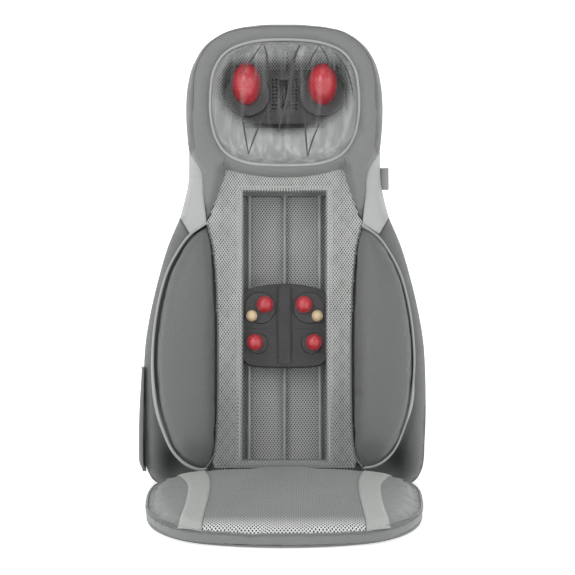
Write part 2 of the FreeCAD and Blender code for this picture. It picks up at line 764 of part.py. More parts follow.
def seat_base_panel():
    """Thin non-slip board under the seat; a tongue carries it just past the crease."""
    board = seat_outline(2.0, 0, SEAT_PANEL)
    tongue = Part.makeBox(180, 24, SEAT_PANEL, V(-90, -20, 0))
    return board.fuse(tongue)


def seat_vibration_housings():
    tubs = []
    for side in (-1, 1):
        hollow = Part.makeCylinder(10.2, 48, V(side * VIBRATOR_X, VIBRATOR_Y - 24, VIBRATOR_Z),
                                   V(0, 1, 0))
        tubs.append(vibrator_pocket(side).cut(hollow))
    return Part.Compound(tubs)


def seat_vibration_motors():
    motors = []
    for side in (-1, 1):
        can = Part.makeCylinder(10.2, 28, V(side * VIBRATOR_X, VIBRATOR_Y - 4, VIBRATOR_Z),
                                V(0, 1, 0))
        bore = Part.makeCylinder(1.5 + RUN, 8, V(side * VIBRATOR_X, VIBRATOR_Y - 4, VIBRATOR_Z),
                                 V(0, 1, 0))
        motors.append(can.cut(bore))
    return Part.Compound(motors)


def seat_weight(side):
    """Half-round weight on its motor shaft."""
    x = side * VIBRATOR_X
    shaft = Part.makeCylinder(1.5, 25, V(x, VIBRATOR_Y - 22, VIBRATOR_Z), V(0, 1, 0))
    weight = Part.makeCylinder(9.0, 12, V(x, VIBRATOR_Y - 20, VIBRATOR_Z), V(0, 1, 0), 180)
    weight.rotate(V(x, VIBRATOR_Y, VIBRATOR_Z), V(0, 1, 0), 90)
    return shaft.fuse(weight)


# ---- nodes ----
def nodes():
    made = {
        "rear_shell": rear_shell(),
        "rear_screws": stand(rear_screws()),
        "cable_grommet": stand(cable_grommet()),
        "chassis": chassis(),
        "neck_housing": neck_housing(),
        "neck_hood": neck_hood(),
        "neck_window_cloth": neck_window_cloth(),
        "centre_pad": centre_pad(),
        "mesh_cover": mesh_cover(),
        "shoulder_panels": shoulder_panels(),
        "side_flaps": side_flaps(),
        "bolster_right": stand(bolster()),
        "bolster_left": stand(mirror_x(bolster())),
        "side_pocket": side_pocket(),
        "side_tab": side_tab(),
        "chair_straps": chair_straps(),
        "strap_buckles": strap_buckles(),
        "crease_hinge": crease_hinge(),
        "guide_rails": guide_rails(),
        "rail_brackets": rail_brackets(),
        "screw_bearings": screw_bearings(),
        "back_travel_motor": travel_motor(1.5, BACK_AXIS_W, 9.2, 11),
        "neck_travel_motor": travel_motor(NECK_TUB_LOW - 4, NECK_AXIS_W, 9.0, 16),
        "control_board": control_board(),
        "limit_switches": limit_switches(),
        "back_lead_screw": lead_screw(-3.0, TUB_HIGH - 0.5, BACK_AXIS_W),
        "back_carriage_base": back_carriage_base(),
        "back_carriage_cover": back_carriage_cover(),
        "back_carriage_bushes": back_carriage_bushes(),
        "back_screw_nut": nut(NUT_ROW, NUT_LENGTH, BACK_AXIS_W),
        "back_kneading_motor": kneading_motor(19, 9.8, WORM_V, WORM_W),
        "back_worm_shaft": worm_shaft(65.5, 26, 56, WORM_V, WORM_W),
        "neck_lead_screw": lead_screw(NECK_TUB_LOW - 8, NECK_TUB_HIGH - 0.5, NECK_AXIS_W),
        "neck_carriage_base": neck_carriage_base(),
        "neck_carriage_cover": neck_carriage_cover(),
        "neck_carriage_bushes": neck_carriage_bushes(),
        "neck_screw_nut": nut(NECK_NUT_ROW, NECK_NUT_LENGTH, NECK_AXIS_W),
        "neck_kneading_motor": kneading_motor(24, 9.0, NECK_WORM_V, NECK_WORM_W),
        "neck_worm_shaft": worm_shaft(89.5, 42, 80, NECK_WORM_V, NECK_WORM_W),
        "seat_cushion": seat_cushion(),
        "seat_base_panel": seat_base_panel(),
        "seat_vibration_housings": seat_vibration_housings(),
        "seat_vibration_motors": seat_vibration_motors(),
    }
    for name, side in (("right", 1), ("left", -1)):
        made["upper_disc_" + name] = upper_disc(side)
        made["upper_node_" + name] = upper_node(side)
        made["upper_small_node_" + name] = upper_small_node(side)
        made["lower_disc_" + name] = lower_disc(side)
        made["lower_node_" + name] = lower_node(side)
        made["neck_disc_" + name] = neck_disc(side)
        made["neck_node_" + name] = neck_node(side)
        made["seat_weight_" + name] = seat_weight(side)
    return made


def main():
    os.makedirs("parts", exist_ok=True)
    for name, shape in nodes().items():
        print(name, shape.ShapeType, len(shape.Solids), shape.isValid(), round(shape.Volume))
        shape.exportStep("parts/" + name + ".step")


main()
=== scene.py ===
import bpy, bmesh, math
import numpy as np
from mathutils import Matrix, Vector, geometry
from mathutils.bvhtree import BVHTree


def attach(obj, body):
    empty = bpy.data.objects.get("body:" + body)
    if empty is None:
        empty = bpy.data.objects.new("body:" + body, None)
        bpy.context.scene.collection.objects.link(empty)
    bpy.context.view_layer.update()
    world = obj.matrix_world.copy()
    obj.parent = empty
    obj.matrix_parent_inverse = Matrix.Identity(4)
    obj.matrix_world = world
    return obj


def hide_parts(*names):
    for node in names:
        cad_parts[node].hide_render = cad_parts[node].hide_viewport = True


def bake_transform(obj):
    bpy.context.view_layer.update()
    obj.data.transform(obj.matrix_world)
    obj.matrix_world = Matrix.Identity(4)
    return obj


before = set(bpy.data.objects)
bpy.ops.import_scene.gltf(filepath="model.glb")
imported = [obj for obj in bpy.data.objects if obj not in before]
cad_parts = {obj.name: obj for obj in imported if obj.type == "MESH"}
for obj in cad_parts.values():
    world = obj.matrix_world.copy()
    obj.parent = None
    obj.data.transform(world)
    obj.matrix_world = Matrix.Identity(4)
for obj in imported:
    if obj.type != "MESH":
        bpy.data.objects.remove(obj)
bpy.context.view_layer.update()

# The back is described upright as (x, v, w) in mm: v runs up the back from the crease and w comes out of it.
LEAN = math.radians(12)
UP = Vector((0, math.sin(LEAN), math.cos(LEAN)))
OUT = Vector((0, -math.cos(LEAN), math.sin(LEAN)))
CREASE = 38.0
FOOT = 0.001 * CREASE * math.cos(LEAN)  # height of v = 0 in a leaned material's space, m
SIDES = ((1, "right"), (-1, "left"))


def back_point(x, v, w):
    return Vector((x, 0, CREASE)) * 0.001 + UP * (v * 0.001) + OUT * (w * 0.001)


def flat_point(x, y, z):
    return Vector((x, y, z)) * 0.001


def upright(p):
    """(x, v) in mm of a point given in metres."""
    return p.x * 1000, (p - Vector((0, 0, CREASE * 0.001))).dot(UP) * 1000


def xyz(points, side=1):
    """Outline points with a zero third coordinate, on the right (1) or left (-1) side."""
    return [(side * x, v, 0) for x, v in points]


# ---------------------------------------------------------------- materials
def grey(r, g, b):
    return tuple((c / 255 / 12.92 if c < 10 else ((c / 255 + 0.055) / 1.055) ** 2.4) for c in (r, g, b)) + (1.0,)


class Shade:
    """Small wrapper for building a node material."""

    def __init__(self, name, rough=0.6, sheen=0.0, spec=0.4):
        self.m = bpy.data.materials.new(name)
        self.m.use_nodes = True
        self.t = self.m.node_tree
        self.b = self.t.nodes["Principled BSDF"]
        self.b.inputs["Roughness"].default_value = rough
        self.b.inputs["Specular IOR Level"].default_value = spec
        self.b.inputs["Sheen Weight"].default_value = sheen

    def add(self, kind, **values):
        n = self.t.nodes.new(kind)
        for k, v in values.items():
            if hasattr(n, k):
                setattr(n, k, v)
            else:
                n.inputs[k.replace("_", " ")].default_value = v
        return n

    def link(self, a, b):
        self.t.links.new(a, b)

    def space(self, leaned=True):
        """Object coordinates, turned so that Z runs up the back."""
        c = self.add("ShaderNodeTexCoord")
        if not leaned:
            return c.outputs["Object"]
        m = self.add("ShaderNodeMapping")
        m.inputs["Rotation"].default_value = (LEAN, 0, 0)
        self.link(c.outputs["Object"], m.inputs["Vector"])
        return m.outputs["Vector"]

    def math(self, op, a, b=None, clamp=False):
        n = self.add("ShaderNodeMath", operation=op, use_clamp=clamp)
        for i, v in enumerate((a, b)):
            if v is None:
                continue
            if isinstance(v, (int, float)):
                n.inputs[i].default_value = v
            else:
                self.link(v, n.inputs[i])
        return n.outputs[0]

    def mix(self, fac, a, b):
        n = self.add("ShaderNodeMix", data_type="RGBA")
        for sock, v in ((n.inputs["Factor"], fac), (n.inputs["A"], a), (n.inputs["B"], b)):
            if isinstance(v, (int, float, tuple)):
                sock.default_value = v
            else:
                self.link(v, sock)
        return n.outputs["Result"]

    def noise(self, vec, scale, detail=3.0):
        n = self.add("ShaderNodeTexNoise")
        n.inputs["Scale"].default_value = scale
        n.inputs["Detail"].default_value = detail
        self.link(vec, n.inputs["Vector"])
        return n.outputs["Fac"]

    def ramp(self, value, low, high, to_low=0.0, to_high=1.0):
        n = self.add("ShaderNodeMapRange", interpolation_type="SMOOTHSTEP")
        for k, v in (("From Min", low), ("From Max", high), ("To Min", to_low), ("To Max", to_high)):
            n.inputs[k].default_value = v
        self.link(value, n.inputs["Value"])
        return n.outputs["Result"]

    def bump(self, height, strength, depth):
        n = self.add("ShaderNodeBump")
        n.inputs["Strength"].default_value = strength
        n.inputs["Distance"].default_value = depth
        self.link(height, n.inputs["Height"])
        self.link(n.outputs["Normal"], self.b.inputs["Normal"])

    def colour(self, socket):
        self.link(socket, self.b.inputs["Base Color"])


def scaled(colour, f):
    return tuple(min(1.0, c * f) for c in colour[:3]) + (1.0,)


def plastic(name, colour, rough=0.5, spec=0.4, metal=0.0, coat=0.0, grain=1400):
    """Moulded or machined part: fine grain, faint blotches."""
    s = Shade(name, rough, spec=spec)
    s.b.inputs["Metallic"].default_value = metal
    s.b.inputs["Coat Weight"].default_value = coat
    v = s.space()
    blotch = s.noise(v, 28.0)
    s.colour(s.mix(s.ramp(blotch, 0.3, 0.7), scaled(colour, 0.9), scaled(colour, 1.08)))
    s.link(s.ramp(s.noise(v, 160.0), 0.3, 0.7, rough * 0.85, min(1.0, rough * 1.15)), s.b.inputs["Roughness"])
    s.bump(s.noise(v, grain, 2.0), 0.25, 0.0002)
    return s.m


def leather(name, colour, rough=0.52, leaned=True, grain=520.0, painted_shade=None):
    """Soft leatherette: pebbled grain, slow colour drift and a faint rub."""
    s = Shade(name, rough, sheen=0.15, spec=0.38)
    v = s.space(leaned)
    cells = s.add("ShaderNodeTexVoronoi")
    cells.inputs["Scale"].default_value = grain
    s.link(v, cells.inputs["Vector"])
    drift = s.ramp(s.noise(v, 9.0, 4.0), 0.3, 0.72)
    base = s.mix(drift, scaled(colour, 0.93), scaled(colour, 1.06))
    pits = s.ramp(cells.outputs["Distance"], 0.05, 0.55)
    skin_colour = s.mix(pits, base, scaled(colour, 0.86))
    if painted_shade:  # painted shade of a recess that the covers leave in shade, weighted by a value stored on the points
        held = s.add("ShaderNodeAttribute", attribute_name="painted_shade")
        skin_colour = s.mix(held.outputs["Fac"], skin_colour, painted_shade)
    s.colour(skin_colour)
    s.link(s.ramp(s.noise(v, 60.0), 0.3, 0.7, rough - 0.06, rough + 0.08), s.b.inputs["Roughness"])
    s.bump(pits, 0.35, 0.0005)
    return s.m


def netting(s, vec, along, px, py):
    """0..1 thread mask of a diamond net with cells px wide and py tall, in metres."""
    sep = s.add("ShaderNodeSeparateXYZ")
    s.link(vec, sep.inputs[0])
    a = s.math("DIVIDE", sep.outputs[0], px)
    b = s.math("DIVIDE", sep.outputs[along], py)
    one = s.math("PINGPONG", s.math("ADD", a, b), 0.5)
    two = s.math("PINGPONG", s.math("SUBTRACT", a, b), 0.5)
    return s.math("MINIMUM", one, two)


def mesh_cloth(name, thread, hole, px=0.0056, py=0.0084, leaned=True, along=2, width=0.17, front=None):
    """Spacer mesh seen as diamonds: light threads round dark holes; front=(y0, y1, colour) blends the threads to
    that colour between y1 and y0, towards the front.
    """
    s = Shade(name, 0.75, sheen=0.2, spec=0.25)
    v = s.space(leaned)
    d = netting(s, v, along, px, py)
    holes = s.ramp(d, width * 0.6, width * 1.5)
    drift = s.ramp(s.noise(v, 14.0), 0.3, 0.7)
    light = s.mix(drift, scaled(thread, 0.93), scaled(thread, 1.05))
    if front:
        sep = s.add("ShaderNodeSeparateXYZ")
        s.link(v, sep.inputs[0])
        light = s.mix(s.ramp(sep.outputs[1], front[0], front[1], 1.0, 0.0), light, front[2])
    s.colour(s.mix(holes, light, hole))
    s.bump(s.math("SUBTRACT", 1.0, holes), 0.7, 0.0009)
    return s.m


def weave(name, colour, pitch=0.0012, leaned=True, contrast=0.12, along=2):
    """Plain woven cloth or webbing."""
    s = Shade(name, 0.8, sheen=0.3, spec=0.25)
    v = s.space(leaned)
    sep = s.add("ShaderNodeSeparateXYZ")
    s.link(v, sep.inputs[0])
    a = s.math("SINE", s.math("MULTIPLY", sep.outputs[0], math.tau / pitch))
    b = s.math("SINE", s.math("MULTIPLY", sep.outputs[along], math.tau / pitch))
    w = s.ramp(s.math("MULTIPLY", a, b), -1.0, 1.0)
    drift = s.ramp(s.noise(v, 18.0), 0.3, 0.7)
    base = s.mix(drift, scaled(colour, 0.94), scaled(colour, 1.05))
    s.colour(s.mix(w, base, scaled(colour, 1.0 - contrast)))
    s.bump(w, 0.4, 0.0004)
    return s.m


RED = grey(180, 44, 55)
M = {
    "shell_plastic": plastic("shell_plastic", grey(74, 76, 77), 0.55),
    # painted light: the frame's diamond threads on the tub floor are made light to offset the shade deep in the
    # tub
    "frame_plastic": mesh_cloth("frame_plastic", grey(196, 198, 197), grey(84, 86, 86), px=0.0046, py=0.0066,
                                width=0.16),
    "housing_plastic": plastic("housing_plastic", grey(120, 122, 122), 0.6),
    "carriage_plastic": plastic("carriage_plastic", grey(54, 54, 55), 0.5),
    "disc_plastic": plastic("disc_plastic", grey(62, 61, 62), 0.45),
    "red_node": plastic("red_node", RED, 0.32, coat=0.6, spec=0.5, grain=500),
    "beige_node": plastic("beige_node", grey(208, 186, 150), 0.38, coat=0.2, grain=500),
    "black_plastic": plastic("black_plastic", grey(40, 41, 42), 0.5),
    "bush_plastic": plastic("bush_plastic", grey(205, 203, 194), 0.5),
    "board": plastic("board", grey(40, 88, 62), 0.5),
    "black_rubber": plastic("black_rubber", grey(38, 38, 39), 0.8, spec=0.25),
    "steel": plastic("steel", grey(150, 152, 153), 0.4, metal=0.35),
    "motor_metal": plastic("motor_metal", grey(140, 142, 144), 0.4, metal=0.9),
    "brass": plastic("brass", grey(196, 164, 96), 0.35, metal=1.0),
    "seat_underside": weave("seat_underside", grey(118, 121, 120), 0.003, leaned=False, along=1),
    "webbing": weave("webbing", grey(62, 64, 65), 0.0026, contrast=0.3),
}
HOOD = leather("hood_leather", grey(124, 126, 125))
HOOD_SIDE = leather("hood_side_leather", grey(104, 106, 106))
BOLSTER = leather("bolster_leather", grey(104, 106, 105), rough=0.48)
LIGHT = leather("light_leather", grey(174, 177, 176), grain=700)
DARK = leather("dark_leather", grey(112, 115, 114), rough=0.58)
# the flaps' leather, with painted shade mixed in where the bolster shades it
RECESS = leather("recess_leather", grey(112, 115, 114), rough=0.62, painted_shade=grey(34, 36, 36))
PIPING = leather("piping_leather", grey(166, 169, 168), grain=900)
WING = leather("wing_leather", grey(137, 140, 139), leaned=False)
STRIPE = leather("stripe_leather", grey(182, 185, 181), leaned=False, grain=700)
BOXING = leather("boxing_leather", grey(121, 124, 123), leaned=False)
THREAD = weave("stitch_thread", grey(205, 207, 205), 0.001)
SEAT_MESH = mesh_cloth("seat_mesh", grey(158, 160, 159), grey(74, 76, 77), px=0.0052, py=0.0074,
                       leaned=False, along=1, front=(-0.372, -0.322, grey(232, 234, 233)))
BACKING = mesh_cloth("pad_mesh", grey(136, 138, 138), grey(80, 82, 83))
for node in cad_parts.values():
    for s in node.material_slots:
        if s.material and s.material.name in M:
            s.material = M[s.material.name]
for name in ("neck_housing", "rail_brackets", "limit_switches"):
    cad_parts[name].material_slots[0].material = M["housing_plastic"]
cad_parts["rear_screws"].material_slots[0].material = plastic("dark_screws", grey(96, 98, 100), 0.4, metal=0.7)


# ---------------------------------------------------------------- geometry helpers
def curve(points, closed=False, step=3.0):
    """Smooth line through points (centripetal Catmull-Rom), sampled about every step mm."""
    p = [Vector(q) for q in points]
    n = len(p)
    if not closed:
        p = [2 * p[0] - p[1]] + p + [2 * p[-1] - p[-2]]
    out = []
    for i in range(n if closed else n - 1):
        a, b, c, d = (p[(i + k) % n] for k in (-1, 0, 1, 2)) if closed else p[i:i + 4]
        ab, bc, cd = (max(1e-4, (s - r).length ** 0.5) for r, s in ((a, b), (b, c), (c, d)))
        into = (b - a) / ab - (c - a) / (ab + bc) + (c - b) / bc
        away_from = (c - b) / bc - (d - b) / (bc + cd) + (d - c) / cd
        m0, m1 = into * bc, away_from * bc
        m = max(1, int((c - b).length / step))
        for j in range(m):
            t = j / m
            out.append((2 * t ** 3 - 3 * t ** 2 + 1) * b + (t ** 3 - 2 * t ** 2 + t) * m0
                       + (3 * t ** 2 - 2 * t ** 3) * c + (t ** 3 - t ** 2) * m1)
    if not closed:
        out.append(p[-2])
    return out


def runs(*parts, side=1):
    """Closed loop of smooth runs that meet in corners, on the right (1) or left (-1) side."""
    out = []
    for p in parts:
        out += curve(xyz(p, side))[:-1]
    return out


def mirrored(points):
    return [(-x, v) for x, v in reversed(points)]


def inset(points, distance):
    n = len(points)
    area = sum(points[i - 1][0] * points[i][1] - points[i][0] * points[i - 1][1] for i in range(n))
    side = 1 if area > 0 else -1
    out = []
    for i in range(n):
        d = Vector(points[(i + 1) % n][:2]) - Vector(points[i - 1][:2])
        d.normalize()
        out.append((points[i][0] - side * distance * d.y, points[i][1] + side * distance * d.x))
    return out


def away(pts, line, closed=True):
    """Distance of each point from a line of points."""
    line = np.array([(q[0], q[1]) for q in line])
    a = line if closed else line[:-1]
    b = np.roll(line, -1, 0) if closed else line[1:]
    d = b - a
    best = np.full(len(pts), 1e9)
    for i in range(len(a)):
        l2 = max(1e-9, d[i] @ d[i])
        t = np.clip(((pts - a[i]) @ d[i]) / l2, 0, 1)
        q = pts - (a[i] + t[:, None] * d[i])
        best = np.minimum(best, np.hypot(q[:, 0], q[:, 1]))
    return best


def nearest(pts, line):
    """Closest points on a closed line."""
    line = np.array([(q[0], q[1]) for q in line])
    best, found = np.full(len(pts), 1e9), np.zeros((len(pts), 2))
    for a, b in zip(line, np.roll(line, -1, 0)):
        d = b - a
        t = np.clip(((pts - a) @ d) / max(1e-9, d @ d), 0, 1)
        on = a + t[:, None] * d
        far = np.hypot(*(pts - on).T)
        closer = far < best
        best[closer], found[closer] = far[closer], on[closer]
    return found


def inside(pts, loops):
    """Even-odd test."""
    hit = np.zeros(len(pts), bool)
    for loop in loops:
        n = len(loop)
        for i in range(n):
            (x0, y0), (x1, y1) = loop[i - 1][:2], loop[i][:2]
            if y0 == y1:
                continue
            cross = ((y0 > pts[:, 1]) != (y1 > pts[:, 1])) & (
                pts[:, 0] < (x1 - x0) * (pts[:, 1] - y0) / (y1 - y0) + x0)
            hit ^= cross
    return hit


def flat_mesh(loops, step):
    """Even triangles that fill the loops."""
    verts, edges = [], []
    for loop in loops:
        first = len(verts)
        verts += [Vector((q[0], q[1])) for q in loop]
        edges += [(first + i, first + (i + 1) % len(loop)) for i in range(len(loop))]
    every = np.array([v[:] for v in verts])
    lo, hi = every.min(0), every.max(0)
    rows = []
    row_height = step * 0.866  # of even triangles
    for j, y in enumerate(np.arange(lo[1], hi[1], row_height)):
        rows += [(x + (step / 2 if j % 2 else 0), y) for x in np.arange(lo[0], hi[0], step)]
    grid = np.array(rows)
    near = np.min([away(grid, loop) for loop in loops], 0)
    grid = grid[inside(grid, loops) & (near > step * 0.55)]
    verts += [Vector(q) for q in grid]
    made = geometry.delaunay_2d_cdt(verts, edges, [], 1, 1e-4, False)
    pts = np.array([v[:] for v in made[0]])
    tris = np.array(made[2])
    tris = tris[inside(pts[tris].mean(1), loops)]
    return pts, tris


def relax(values, tris, rounds, fixed=None):
    """Smooths heights over the mesh, holding the fixed points."""
    e = np.concatenate([tris[:, [0, 1]], tris[:, [1, 2]], tris[:, [2, 0]]])
    for _ in range(rounds):
        total, count = np.zeros(len(values)), np.zeros(len(values))
        for a, b in ((0, 1), (1, 0)):
            np.add.at(total, e[:, a], values[e[:, b]])
            np.add.at(count, e[:, a], 1)
        new = 0.5 * values + 0.5 * total / np.maximum(count, 1)
        values = new if fixed is None else np.where(fixed, values, new)
    return values


def make(name, verts, faces, material, body="back", slot=None, smooth=True):
    mesh = bpy.data.meshes.new(name)
    mesh.from_pydata([tuple(v) for v in verts], [], [tuple(int(i) for i in f) for f in faces])
    b = bmesh.new()
    b.from_mesh(mesh)
    bmesh.ops.remove_doubles(b, verts=b.verts, dist=1e-6)
    bmesh.ops.recalc_face_normals(b, faces=b.faces)
    b.to_mesh(mesh)
    b.free()
    obj = bpy.data.objects.new(name, mesh)
    bpy.context.scene.collection.objects.link(obj)
    mesh.materials.append(material)
    if smooth:
        mesh.shade_smooth()
    if body:
        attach(obj, body)
    return obj


def thicken(obj, thickness, offset=-1):
    m = obj.modifiers.new("Thick", "SOLIDIFY")
    m.thickness, m.offset = thickness, offset


def quads(rows, cols, wrap=False):
    """Faces of a grid of points listed row by row, its last column joined to its first if wrap."""
    return [(k * cols + i, k * cols + (i + 1) % cols, (k + 1) * cols + (i + 1) % cols, (k + 1) * cols + i)
            for k in range(rows - 1) for i in range(cols if wrap else cols - 1)]


def solid(name, loops, front, rear, material, place=back_point, step=4.0, soften=6, **kw):
    """Closed pad: front(x, v, d) and rear(x, v, d) give its two faces from the distance d to its edge."""
    pts, tris = flat_mesh(loops, step)
    d = np.min([away(pts, loop) for loop in loops], 0)
    x, v = pts[:, 0], pts[:, 1]
    rim = d < 0.01
    top = relax(front(x, v, d), tris, soften, rim)
    low = rear(x, v, d)
    n = len(pts)
    verts = [place(x[i], v[i], top[i]) for i in range(n)] + [place(x[i], v[i], low[i]) for i in range(n)]
    faces = [tuple(t) for t in tris] + [(t[2] + n, t[1] + n, t[0] + n) for t in tris]
    seen = {}
    for t in tris:
        for a, b in ((t[0], t[1]), (t[1], t[2]), (t[2], t[0])):
            seen[(a, b)] = True
    for a, b in seen:
        if (b, a) not in seen:
            faces.append((b, a, a + n, b + n))
    return make(name, verts, faces, material, **kw)


def dome(d, reach):
    """0 at the edge, 1 from reach inwards, round between."""
    t = np.clip(d / reach, 0, 1)
    return np.sqrt(1 - (1 - t) ** 2)


def puff(obj, voxel, cap):
    """Inflates a pad as cloth, caps how far it moves, and leaves a plain mesh."""
    scene = bpy.context.scene
    bpy.context.view_layer.objects.active = obj
    r = obj.modifiers.new("Remesh", "REMESH")
    r.mode, r.voxel_size = "VOXEL", voxel
    bpy.context.view_layer.update()
    mesh = bpy.data.meshes.new_from_object(obj.evaluated_get(bpy.context.evaluated_depsgraph_get()))
    obj.modifiers.clear()
    obj.data = mesh
    start = np.array([q.co for q in mesh.vertices])
    c = obj.modifiers.new("Cloth", "CLOTH")
    c.settings.quality = 4
    c.settings.mass = 0.3
    c.settings.use_pressure = True
    c.settings.uniform_pressure_force = 4.0
    c.settings.effector_weights.gravity = 0
    last_frame = 20
    c.point_cache.frame_start, c.point_cache.frame_end = 1, last_frame
    for f in range(1, last_frame + 1):
        scene.frame_set(f)
    shown = obj.evaluated_get(bpy.context.evaluated_depsgraph_get())
    end = np.array([q.co for q in shown.data.vertices])
    obj.modifiers.clear()
    scene.frame_set(1)
    move = end - start
    size = np.linalg.norm(move, axis=1, keepdims=True)
    move *= np.minimum(1.0, cap / np.maximum(size, 1e-9))
    mesh.vertices.foreach_set("co", (start + move).astype(np.float32).ravel())
    s = obj.modifiers.new("Subdivide", "SUBSURF")
    s.levels = s.render_levels = 1
    mesh = bpy.data.meshes.new_from_object(obj.evaluated_get(bpy.context.evaluated_depsgraph_get()))
    obj.modifiers.clear()
    obj.data = mesh
    mesh.shade_smooth()


def surface(obj):
    """Ray-cast tree of a finished pad."""
    return BVHTree.FromObject(obj, bpy.context.evaluated_depsgraph_get())


RAY_START, RAY_REACH = 90, 0.4  # how far out in mm a ray starts, how far in m it looks


def on_back(tree, x, v, lift, default=0.0):
    """Point of a back pad's front skin at (x, v), raised by lift mm."""
    hit = tree.ray_cast(back_point(x, v, RAY_START), -OUT, RAY_REACH)[0]
    return (back_point(x, v, default) if hit is None else hit) + OUT * (lift * 0.001)


def on_seat(tree, x, y, lift=0.0):
    """Point of the seat's top at (x, y), raised by lift mm."""
    hit = tree.ray_cast(flat_point(x, y, RAY_START), Vector((0, 0, -1)), RAY_REACH)[0]
    return flat_point(x, y, 20 + lift) if hit is None else hit + Vector((0, 0, lift * 0.001))


def tube(name, points, radius, material, body="back", closed=False):
    """Round cord along points in metres."""
    c = bpy.data.curves.new(name, "CURVE")
    c.dimensions = "3D"
    c.bevel_depth, c.bevel_resolution = radius, 3
    s = c.splines.new("POLY")
    s.points.add(len(points) - 1)
    for q, p in zip(s.points, points):
        q.co = (*p, 1)
    s.use_cyclic_u = closed
    obj = bpy.data.objects.new(name, c)
    bpy.context.scene.collection.objects.link(obj)
    mesh = bpy.data.meshes.new_from_object(obj.evaluated_get(bpy.context.evaluated_depsgraph_get()))
    bpy.data.objects.remove(obj)
    obj = bpy.data.objects.new(name, mesh)
    bpy.context.scene.collection.objects.link(obj)
    mesh.materials.clear()
    mesh.materials.append(material)
    mesh.shade_smooth()
    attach(obj, body)
    return obj


def band(name, left, right, material, thick=0.0006):
    """Thin strip between two lines of points, with a little thickness."""
    n = len(left)
    verts = list(left) + list(right)
    verts += [p - OUT * thick for p in verts]
    faces = []
    m = 2 * n
    for i in range(n - 1):
        faces.append((i, i + 1, n + i + 1, n + i))
        faces.append((m + i, m + n + i, m + n + i + 1, m + i + 1))
        faces.append((i, m + i, m + i + 1, i + 1))
        faces.append((n + i, n + i + 1, m + n + i + 1, m + n + i))
    faces.append((0, n, m + n, m))
    faces.append((n - 1, m + n - 1, m + 2 * n - 1, 2 * n - 1))
    return make(name, verts, faces, material)


STITCH_LENGTH, STITCH_PITCH, STITCH_RADIUS = 3.4, 5.2, 0.45


def stitches(name, points, body):
    """Row of short thread dashes along points in metres, each of four six-sided rings."""
    verts, faces = [], []
    travelled, nxt = 0.0, 0.0
    for a, b in zip(points, points[1:]):
        seg = (b - a).length * 1000
        while nxt <= travelled + seg and seg > 0:
            t = (nxt - travelled) / seg
            c = a.lerp(b, t)
            d = (b - a).normalized()
            side = d.orthogonal().normalized()
            up = d.cross(side)
            k = len(verts)
            for e, r in ((-0.5, 0.3), (-0.3, 1.0), (0.3, 1.0), (0.5, 0.3)):
                for q in range(6):
                    ang = math.tau * q / 6
                    verts.append(c + d * (e * STITCH_LENGTH * 0.001)
                                 + (side * math.cos(ang) + up * math.sin(ang)) * (STITCH_RADIUS * r * 0.001))
            for ring_no in range(3):
                for q in range(6):
                    p0, p1 = k + ring_no * 6 + q, k + ring_no * 6 + (q + 1) % 6
                    faces.append((p0, p1, p1 + 6, p0 + 6))
            faces.append(tuple(k + q for q in range(6)))
            faces.append(tuple(k + 18 + q for q in range(6)))
            nxt += STITCH_PITCH
        travelled += seg
    make(name, verts, faces, THREAD, body)


# ---------------------------------------------------------------- outlines, right half, mm
BACK_EDGE = [(90, 717), (118, 703), (133, 690), (150, 663), (158, 636), (161, 575), (157, 515)]
WINDOW_EDGE = [(0, 688), (58, 683), (93, 668), (111, 642), (117, 608), (116, 560), (106, 525), (90, 505),
               (58, 492), (0, 488)]
BOLSTER_OUTER = [(125, 391), (153, 370), (172, 343), (188, 311), (199, 272), (207, 224), (210, 175),
                 (208, 131), (202, 90), (191, 55), (177, 25), (159, 6), (140, -3), (126, -4)]
BOLSTER_INNER = [(126, -4), (114, 14), (109, 45), (107, 110), (107, 207), (110, 294), (116, 353), (125, 391)]
LEG_OUTER = [(157, 515), (140, 488), (132, 467), (131, 437), (125.5, 392.5)]
LEG_INNER = [(125.5, 392.5), (119, 404), (106, 443), (98, 484)]
UNDER = [(98, 484), (50, 470), (0, 465), (-50, 470), (-98, 484)]
NET_SIDE = [(98, 484), (106, 443), (119, 404), (125, 391)]
NET_BOLSTER = [(125, 391), (116, 353), (110, 294), (107, 207), (107, 110), (108, 60), (110, 30), (113, 8)]
SHOULDER_EDGE = [(157, 515), (156.8, 490), (158, 462), (163, 436), (171, 405)]
FLAP_EDGE = [(171, 405), (191, 356), (206, 303), (218, 250), (226, 198), (229, 107), (227, 45), (222, -4),
             (208, -25), (180, -31)]
FLAP_INNER = [(120.5, -2), (115.5, 14), (110, 45), (108.5, 110), (108.5, 207), (111.5, 294),
              (117.5, 353), (127.5, 400)]
SEAT_EDGE = [(0, -5.2), (80, -5.2), (150, -7), (184, -13), (203, -36), (211, -80), (211, -150),
             (206, -220), (195, -273), (172, -325), (136, -370), (77, -391), (0, -398)]


# ---------------------------------------------------------------- camera, light and floor
CAMERA_AT = (0.0048, -2.957, 0.620)
CAMERA_DOWN = 5.7  # degrees below level
FOCAL_LENGTH, SENSOR = 117.4, 36.0
cam = bpy.data.objects.new("camera", bpy.data.cameras.new("camera"))
bpy.context.scene.collection.objects.link(cam)
cam.location = CAMERA_AT
cam.rotation_euler = (math.radians(90 - CAMERA_DOWN), 0, 0)
cam.data.lens, cam.data.sensor_width = FOCAL_LENGTH, SENSOR
bpy.context.scene.camera = cam

world = bpy.data.worlds.new("studio")
bpy.context.scene.world = world
world.use_nodes = True
world.node_tree.nodes["Background"].inputs["Color"].default_value = (1, 1, 1, 1)
world.node_tree.nodes["Background"].inputs["Strength"].default_value = 0.45


LAMPS_AIM = Vector((0, 0, 0.35))


def lamp(name, where, size, power):
    data = bpy.data.lights.new(name, "AREA")
    data.shape, data.size, data.size_y, data.energy = "RECTANGLE", size[0], size[1], power
    o = bpy.data.objects.new(name, data)
    bpy.context.scene.collection.objects.link(o)
    o.location = where
    o.rotation_euler = (LAMPS_AIM - Vector(where)).to_track_quat("-Z", "Y").to_euler()


